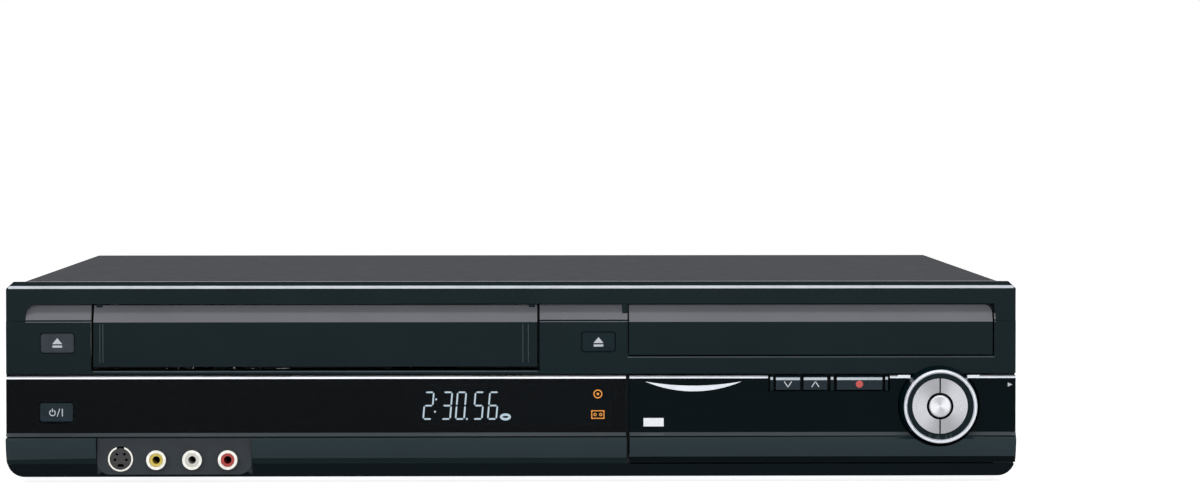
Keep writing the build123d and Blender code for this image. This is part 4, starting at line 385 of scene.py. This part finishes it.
# ---------------------------------------------------------------- finishes of the CAD nodes
NODE_FINISHES = {
    panel_abs: "front_bezel cassette_door tray_front",
    pale_button_abs: "eject_button",
    mid_button_abs: "power_button channel_down_key channel_up_key record_key",
    dark_button_abs: "open_close_button",
    smoked_acrylic: "display_window",
    door_abs: "front_door",
    satin_abs: "front_jack_plate",
    silver_plate: "trim_lines dial_ring",
    door_plate: "door_trim",
    turned_aluminium: "dial_centre_key",
    turned_grey_aluminium: "dub_left_key dub_right_key",
    black_enamel: "top_cover",
    phosphated_steel: "carriage_slider cassette_holder",
    zinc_steel: "bottom_chassis rear_panel deck_plate clamp_bridge heat_sink traverse_frame turntable"
                " pinch_arm cover_screws",
    polished_metal: "upper_drum lower_drum guide_posts capstan",
    nickel: "socket_shells metal_sockets tuner_can",
    insert_finishes["yellow"]: "phono_insert_yellow",
    insert_finishes["white"]: "phono_insert_white",
    insert_finishes["red"]: "phono_insert_red",
    black_abs: "socket_bodies mains_inlet fan_frame fan_rotor board_parts disc_tray clamp_puck loading_motor",
    grey_polycarbonate: "loader_frame pickup_sled supply_reel_table takeup_reel_table",
    acetal: "tray_gear motor_pinion",
    rubber: "feet pinch_roller",
    solder_mask: "circuit_boards front_board",
    display_glass: "display_tube",
    winding_tape: "transformer",
}
for material, names in NODE_FINISHES.items():
    for name in names.split():
        nodes[name].data.materials.clear()
        nodes[name].data.materials.append(material)


def paint_light_and_shade_on_faces(name, material, levels, tilt):
    """Gives a node's faces that look forward, lie between two heights in mm, and lean up by a sine
    between two values, a second material that paints light or shade on them."""
    mesh = nodes[name].data
    mesh.materials.append(material)
    for face in mesh.polygons:
        level, forward, upward = face.center.z / MM, -face.normal.y, face.normal.z
        if levels[0] < level < levels[1] and forward > 0.3 and tilt[0] < upward < tilt[1]:
            face.material_index = len(mesh.materials) - 1


# Painted light and shade on the front: a painted reflection on the slope and the lip, painted shade on the
# strip and the top line, a painted highlight on the acrylic's edge.
for name in ("front_bezel", "cassette_door", "tray_front"):
    paint_light_and_shade_on_faces(name, painted_slope_reflection, SLOPE_LEVELS, SLOPE_TILT)
paint_light_and_shade_on_faces("front_bezel", painted_strip_shade, STRIP_LEVELS, STRIP_TILT)
paint_light_and_shade_on_faces("front_bezel", painted_lip_reflection, LIP_LEVELS, ANY_TILT)
paint_light_and_shade_on_faces("front_door", painted_lip_reflection, LIP_LEVELS, ANY_TILT)
paint_light_and_shade_on_faces("display_window", painted_window_edge_highlight, WINDOW_EDGE_LEVELS, EDGE_TILT)
paint_light_and_shade_on_faces("front_door", painted_window_edge_highlight, DOOR_EDGE_LEVELS, EDGE_TILT)
paint_light_and_shade_on_faces("trim_lines", top_line_plating_shade, TOP_LINE_LEVELS, ANY_TILT)


# ---------------------------------------------------------------- printed and lit marks
def mark(name, outlines, front_y, thickness, material, body):
    """Thin plates facing the viewer. Each outline is a ring of (x, z) points in mm."""
    points, faces = [], []
    for outline in outlines:
        start, count = len(points), len(outline)
        for y in (front_y, front_y + thickness):
            points += [(x * MM, y * MM, z * MM) for x, z in outline]
        faces.append([start + k for k in range(count)])
        faces.append([start + count + k for k in reversed(range(count))])
        for k in range(count):
            after = (k + 1) % count
            faces.append([start + k, start + count + k, start + count + after, start + after])
    shape = bpy.data.meshes.new(name)
    shape.from_pydata(points, [], faces)
    shape.materials.append(material)
    piece = bpy.data.objects.new(name, shape)
    bpy.context.scene.collection.objects.link(piece)
    bpy.context.view_layer.objects.active = piece
    piece.select_set(True)
    bpy.ops.object.mode_set(mode="EDIT")
    bpy.ops.mesh.select_all(action="SELECT")
    bpy.ops.mesh.normals_make_consistent(inside=False)
    bpy.ops.object.mode_set(mode="OBJECT")
    piece.select_set(False)
    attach(piece, body)
    return piece


def bar(x, z, width, height):
    """Upright rectangle round a middle point."""
    return [
        (x - width / 2, z - height / 2), (x + width / 2, z - height / 2),
        (x + width / 2, z + height / 2), (x - width / 2, z + height / 2),
    ]


def stroke(start, end, width):
    """Straight line of that width between two points."""
    dx, dz = end[0] - start[0], end[1] - start[1]
    length = (dx * dx + dz * dz) ** 0.5
    nx, nz = -dz / length * width / 2, dx / length * width / 2
    return [
        (start[0] + nx, start[1] + nz), (start[0] - nx, start[1] - nz),
        (end[0] - nx, end[1] - nz), (end[0] + nx, end[1] + nz),
    ]


def arc(x, z, radius_x, radius_z, width, start, end, steps=28):
    """Curved strip between two angles in degrees, as a row of short quads."""
    pieces = []
    for k in range(steps):
        a = radians(start + (end - start) * k / steps)
        b = radians(start + (end - start) * (k + 1) / steps)
        pieces.append([
            (x + radius_x * cos(a), z + radius_z * sin(a)), (x + radius_x * cos(b), z + radius_z * sin(b)),
            (x + (radius_x - width) * cos(b), z + (radius_z - width) * sin(b)),
            (x + (radius_x - width) * cos(a), z + (radius_z - width) * sin(a)),
        ])
    return pieces


def dot(x, z, radius, sides=32):
    """Round outline."""
    turns = [2 * pi * k / sides for k in range(sides)]
    return [(x + radius * cos(a), z + radius * sin(a)) for a in turns]


def eject_shape(x, z):
    """Triangle over a bar."""
    return [[(x - 2.1, z - 0.45), (x + 2.1, z - 0.45), (x, z + 2.1)], bar(x, z - 1.5, 4.1, 0.9)]


mark(
    "eject_mark", eject_shape(EJECT[0], EJECT[1] + 0.1),
    EJECT_Y - INK_PROUD, INK_THICKNESS, white_ink, "eject_button",
)
mark(
    "open_close_mark", eject_shape(*OPEN_CLOSE),
    EJECT_Y - INK_PROUD, INK_THICKNESS, white_ink, "open_close_button",
)
mark(
    "power_mark",
    arc(POWER[0] - 1.7, POWER[1] - 0.1, 1.4, 1.4, 0.42, 118, 422)
    + [bar(POWER[0] - 1.7, POWER[1] + 1.0, 0.42, 1.5)]
    + [stroke((POWER[0] + 0.3, POWER[1] - 1.7), (POWER[0] + 1.4, POWER[1] + 1.7), 0.36)]
    + [bar(POWER[0] + 2.5, POWER[1], 0.45, 3.2)],
    POWER_Y - INK_PROUD, INK_THICKNESS, white_ink, "power_button",
)
mark(
    "channel_down_mark",
    [stroke((116.1, 43.0), (117.65, 40.6), 0.45), stroke((119.2, 43.0), (117.65, 40.6), 0.45)],
    SMALL_KEY_Y - INK_PROUD, INK_THICKNESS, white_ink, "channel_down_key",
)
mark(
    "channel_up_mark",
    [stroke((127.8, 40.6), (129.35, 43.0), 0.45), stroke((130.9, 40.6), (129.35, 43.0), 0.45)],
    SMALL_KEY_Y - INK_PROUD, INK_THICKNESS, white_ink, "channel_up_key",
)
mark(
    "record_mark", [dot(148.2, 41.85, 1.55)],
    SMALL_KEY_Y - 0.1, 0.2, record_lens_painted_glow, "record_key",
)

# Bright caps on the top edges of the small keys and of the posts between them.
for name, left, right in (
    ("channel_down_key", 112.55, 122.75), ("channel_up_key", 124.35, 134.35),
    ("record_key", 138.55, 157.95),
):
    mark(
        name + "_cap", [bar((left + right) / 2, 44.15, right - left, 1.1)],
        SMALL_KEY_Y - 0.08, 0.3, key_cap_plating_shade, name,
    )
mark(
    "post_caps", [bar(x, 44.3, 1.1, 1.2) for x in (110.7, 136.5, 159.8)],
    MIDDLE_Y - 0.1, 0.3, key_cap_plating_shade, "player",
)

# Painted highlights, hairlines of light: the panel's edge under the cassette door and under the tray
# front, and two fine ribs up each end of the cassette door.
mark(
    "opening_edge_highlights", [bar(-83.6, 47.5, 188.8, 0.4), bar(127.5, 53.45, 156.8, 0.4)],
    MIDDLE_Y - HAIRLINE_PROUD, HAIRLINE_THICKNESS, painted_edge_highlight, "player",
)
mark(
    "cassette_door_rib_highlights", [bar(x, 59.5, 0.22, 16.4) for x in (-175.2, -173.9, 4.6, 6.9)],
    MIDDLE_Y - HAIRLINE_PROUD, HAIRLINE_THICKNESS, painted_edge_highlight, "cassette_door",
)

# Shoulders of the door, which follow the round control up to the bright line and carry it on.
SHOULDER_RADIUS = 17.5
SHOULDER_TOP = 44.35
LINE_START, LINE_MIDDLE, LINE_HEIGHT = 12.2, 45.05, 1.3
outlines, lines = [], []
for side in (-1, 1):
    curve = [radians(4 * k) for k in range(12)]
    outlines.append(
        [(DIAL[0] + side * SHOULDER_RADIUS * cos(a), DIAL[1] + SHOULDER_RADIUS * sin(a)) for a in curve]
        + [(DIAL[0] + side * 12.4, SHOULDER_TOP), (DIAL[0] + side * (SHOULDER_RADIUS + 0.02), SHOULDER_TOP)]
    )
    lines.append(bar(
        DIAL[0] + side * (SHOULDER_RADIUS + LINE_START) / 2, LINE_MIDDLE,
        SHOULDER_RADIUS - LINE_START, LINE_HEIGHT,
    ))
mark("door_shoulders", outlines, WINDOW_Y, 1.8, door_abs, "drop_door")
mark("door_shoulder_lines", lines, WINDOW_Y - 0.1, 1.7, door_plate, "drop_door")

# Door: blank light plate beside the data socket, whose faint glow is painted light, and the triangle that
# shows where to pull.
mark(
    "door_plate_mark", [bar(60.3, 25.7, 8.6, 3.6)],
    WINDOW_Y - INK_PROUD, INK_THICKNESS, label_sheet_painted_glow, "drop_door",
)
mark(
    "pull_mark", [[(211.6, 40.7), (213.6, 41.6), (211.6, 42.5)]],
    WINDOW_Y - INK_PROUD, INK_THICKNESS, white_ink, "drop_door",
)

# Pale arrow heads on the two half-ring keys.
for name, side in (("dub_left_key", -1), ("dub_right_key", 1)):
    tip = DIAL[0] + side * 10.2
    root = DIAL[0] + side * 8.6
    mark(
        name + "_mark",
        [stroke((root, DIAL[1] + rise), (tip, DIAL[1]), 0.4) for rise in (1.3, -1.3)],
        HALF_KEY_Y - 0.03, 0.08, grey_ink, name,
    )

# Display: five thin slanted figures, as a counter shows, with two dots, a point and a disc.
LIT = {
    "0": "abcdef", "1": "bc", "2": "abged", "3": "abgcd", "4": "fgbc",
    "5": "afgcd", "6": "afgecd", "7": "abc", "8": "abcdefg", "9": "abcdfg",
}
SLANT = 0.083


def figure(digit, x, z, width, height, thick):
    """Seven-segment figure, each segment a strip with pointed ends, slanted to the right."""
    half, bevel, gap = height / 2, thick / 2, 0.22
    ends = {
        "a": ((0, height), (width, height)), "g": ((0, half), (width, half)), "d": ((0, 0), (width, 0)),
        "f": ((0, half), (0, height)), "b": ((width, half), (width, height)),
        "e": ((0, 0), (0, half)), "c": ((width, 0), (width, half)),
    }
    outlines = []
    for letter in LIT[digit]:
        (x0, z0), (x1, z1) = ends[letter]
        if z0 == z1:
            ring = [
                (x0 + gap, z0), (x0 + gap + bevel, z0 + bevel), (x1 - gap - bevel, z0 + bevel),
                (x1 - gap, z0), (x1 - gap - bevel, z0 - bevel), (x0 + gap + bevel, z0 - bevel),
            ]
        else:
            ring = [
                (x0, z0 + gap), (x0 - bevel, z0 + gap + bevel), (x0 - bevel, z1 - gap - bevel),
                (x0, z1 - gap), (x0 + bevel, z1 - gap - bevel), (x0 + bevel, z0 + gap + bevel),
            ]
        outlines.append([(x - width / 2 + px + SLANT * (pz - half), z + pz - half) for px, pz in ring])
    return outlines


FIGURE_Z = 32.7
outlines = []
for digit, x in zip("23056", (-35.65, -27.8, -21.85, -14.25, -8.1)):
    outlines += figure(digit, x, FIGURE_Z, 3.6, 11.4, 0.68)
outlines += [dot(-32.4, 35.4, 0.42, 12), dot(-32.9, 30.1, 0.42, 12), dot(-19.3, 27.0, 0.42, 12)]
outlines += arc(-2.85, 27.85, 2.35, 1.5, 1.05, 0, 360, 40)
mark("counter_figures", outlines, TUBE_Y - 0.06, 0.1, lit_phosphor, "player")

# Amber signs: a disc for the disc side, a cassette for the tape side.
outlines = arc(36.6, 37.6, 1.9, 1.9, 0.45, 0, 360, 32) + [dot(36.6, 37.6, 0.55, 16)]
outlines += [bar(36.6, z, 5.6, 0.4) for z in (30.4, 27.2)] + [bar(x, 28.8, 0.4, 3.6) for x in (34.0, 39.2)]
outlines += arc(35.4, 28.8, 0.7, 0.7, 0.35, 0, 360, 20) + arc(37.8, 28.8, 0.7, 0.7, 0.35, 0, 360, 20)
mark("source_signs", outlines, TUBE_Y - 0.06, 0.1, amber_phosphor, "player")

# ---------------------------------------------------------------- stage, lights and camera
FLOOR_LIFT = 0.78            # brings the lit paper up to white for the eye, and keeps its shadow
WORLD_STRENGTH = 0.25        # what the world lights the object with; it looks white, at 1


def seen_rays(tree):
    """Is 1 for what the eye, mirrors and glass see, and 0 for the light that falls on things."""
    rays = put(tree, "ShaderNodeLightPath").outputs
    seen = rays["Is Camera Ray"]
    for kind in ("Is Glossy Ray", "Is Transmission Ray"):
        seen = put(tree, "ShaderNodeMath", {0: seen, 1: rays[kind]}, operation="MAXIMUM").outputs[0]
    return seen


# Pale studio floor: matt and even, white to the eye and to mirrors, and it keeps the shadow.
floor_paper, tree, shader, place = finish("pale_studio_paper", "e6e6e6", 0.9, specular=0.1)
mottle(tree, shader, place, "e3e3e3", "e9e9e9", 300.0)
lift = put(tree, "ShaderNodeMath", {0: seen_rays(tree), 1: FLOOR_LIFT}, operation="MULTIPLY")
tree.links.new(lift.outputs[0], shader.inputs["Emission Strength"])
shader.inputs["Emission Color"].default_value = tone("ffffff")
shape = bpy.data.meshes.new("floor")
reach = 4.0
corners = [(-reach, -reach, 0), (reach, -reach, 0), (reach, reach, 0), (-reach, reach, 0)]
shape.from_pydata(corners, [], [(0, 1, 2, 3)])
shape.materials.append(floor_paper)
floor = bpy.data.objects.new("floor", shape)
bpy.context.scene.collection.objects.link(floor)

world = bpy.data.worlds.new("studio")
bpy.context.scene.world = world
world.use_nodes = True
tree = world.node_tree
tree.nodes.clear()
soft = put(tree, "ShaderNodeBackground", {"Color": tone("ffffff"), "Strength": WORLD_STRENGTH})
white = put(tree, "ShaderNodeBackground", {"Color": tone("ffffff"), "Strength": 1.0})
both = put(tree, "ShaderNodeMixShader", {0: seen_rays(tree), 1: soft.outputs[0], 2: white.outputs[0]})
put(tree, "ShaderNodeOutputWorld", {"Surface": both.outputs[0]})


def softbox(name, spot, aim, size, watts):
    """Rectangular studio lamp that faces a point."""
    lamp = bpy.data.lights.new(name, "AREA")
    lamp.shape = "RECTANGLE"
    lamp.size, lamp.size_y = size
    lamp.energy = watts
    holder = bpy.data.objects.new(name, lamp)
    holder.location = spot
    holder.rotation_euler = (Vector(aim) - Vector(spot)).to_track_quat("-Z", "Y").to_euler()
    bpy.context.scene.collection.objects.link(holder)


FRONT_MIDDLE, TOP_MIDDLE = (0.0, -0.17, 0.07), (0.0, 0.0, 0.08)
softbox("key_softbox", (0.0, -0.83, 1.42), FRONT_MIDDLE, (1.8, 0.3), watts=5.0)
softbox("front_softbox", (0.0, -2.6, 0.6), FRONT_MIDDLE, (2.0, 0.5), watts=27.0)
softbox("top_softbox", (0.0, 0.1, 1.6), TOP_MIDDLE, (1.4, 0.6), watts=4.0)

# The photograph's own view: low and straight on, looking slightly down, and turned a little to
# the right, so that the player stands left of the middle.
LOOK_DOWN, TURN = 1.82, -0.0206            # degrees, radians
lens = bpy.data.cameras.new("camera")
lens.sensor_width = 36.0
lens.lens = 129.9
camera = bpy.data.objects.new("camera", lens)
camera.location = (-0.0005, -2.010, 0.159)
camera.rotation_euler = (radians(90 - LOOK_DOWN), 0.0, TURN)
bpy.context.scene.collection.objects.link(camera)
bpy.context.scene.camera = camera
bpy.context.scene.view_settings.view_transform = "Standard"
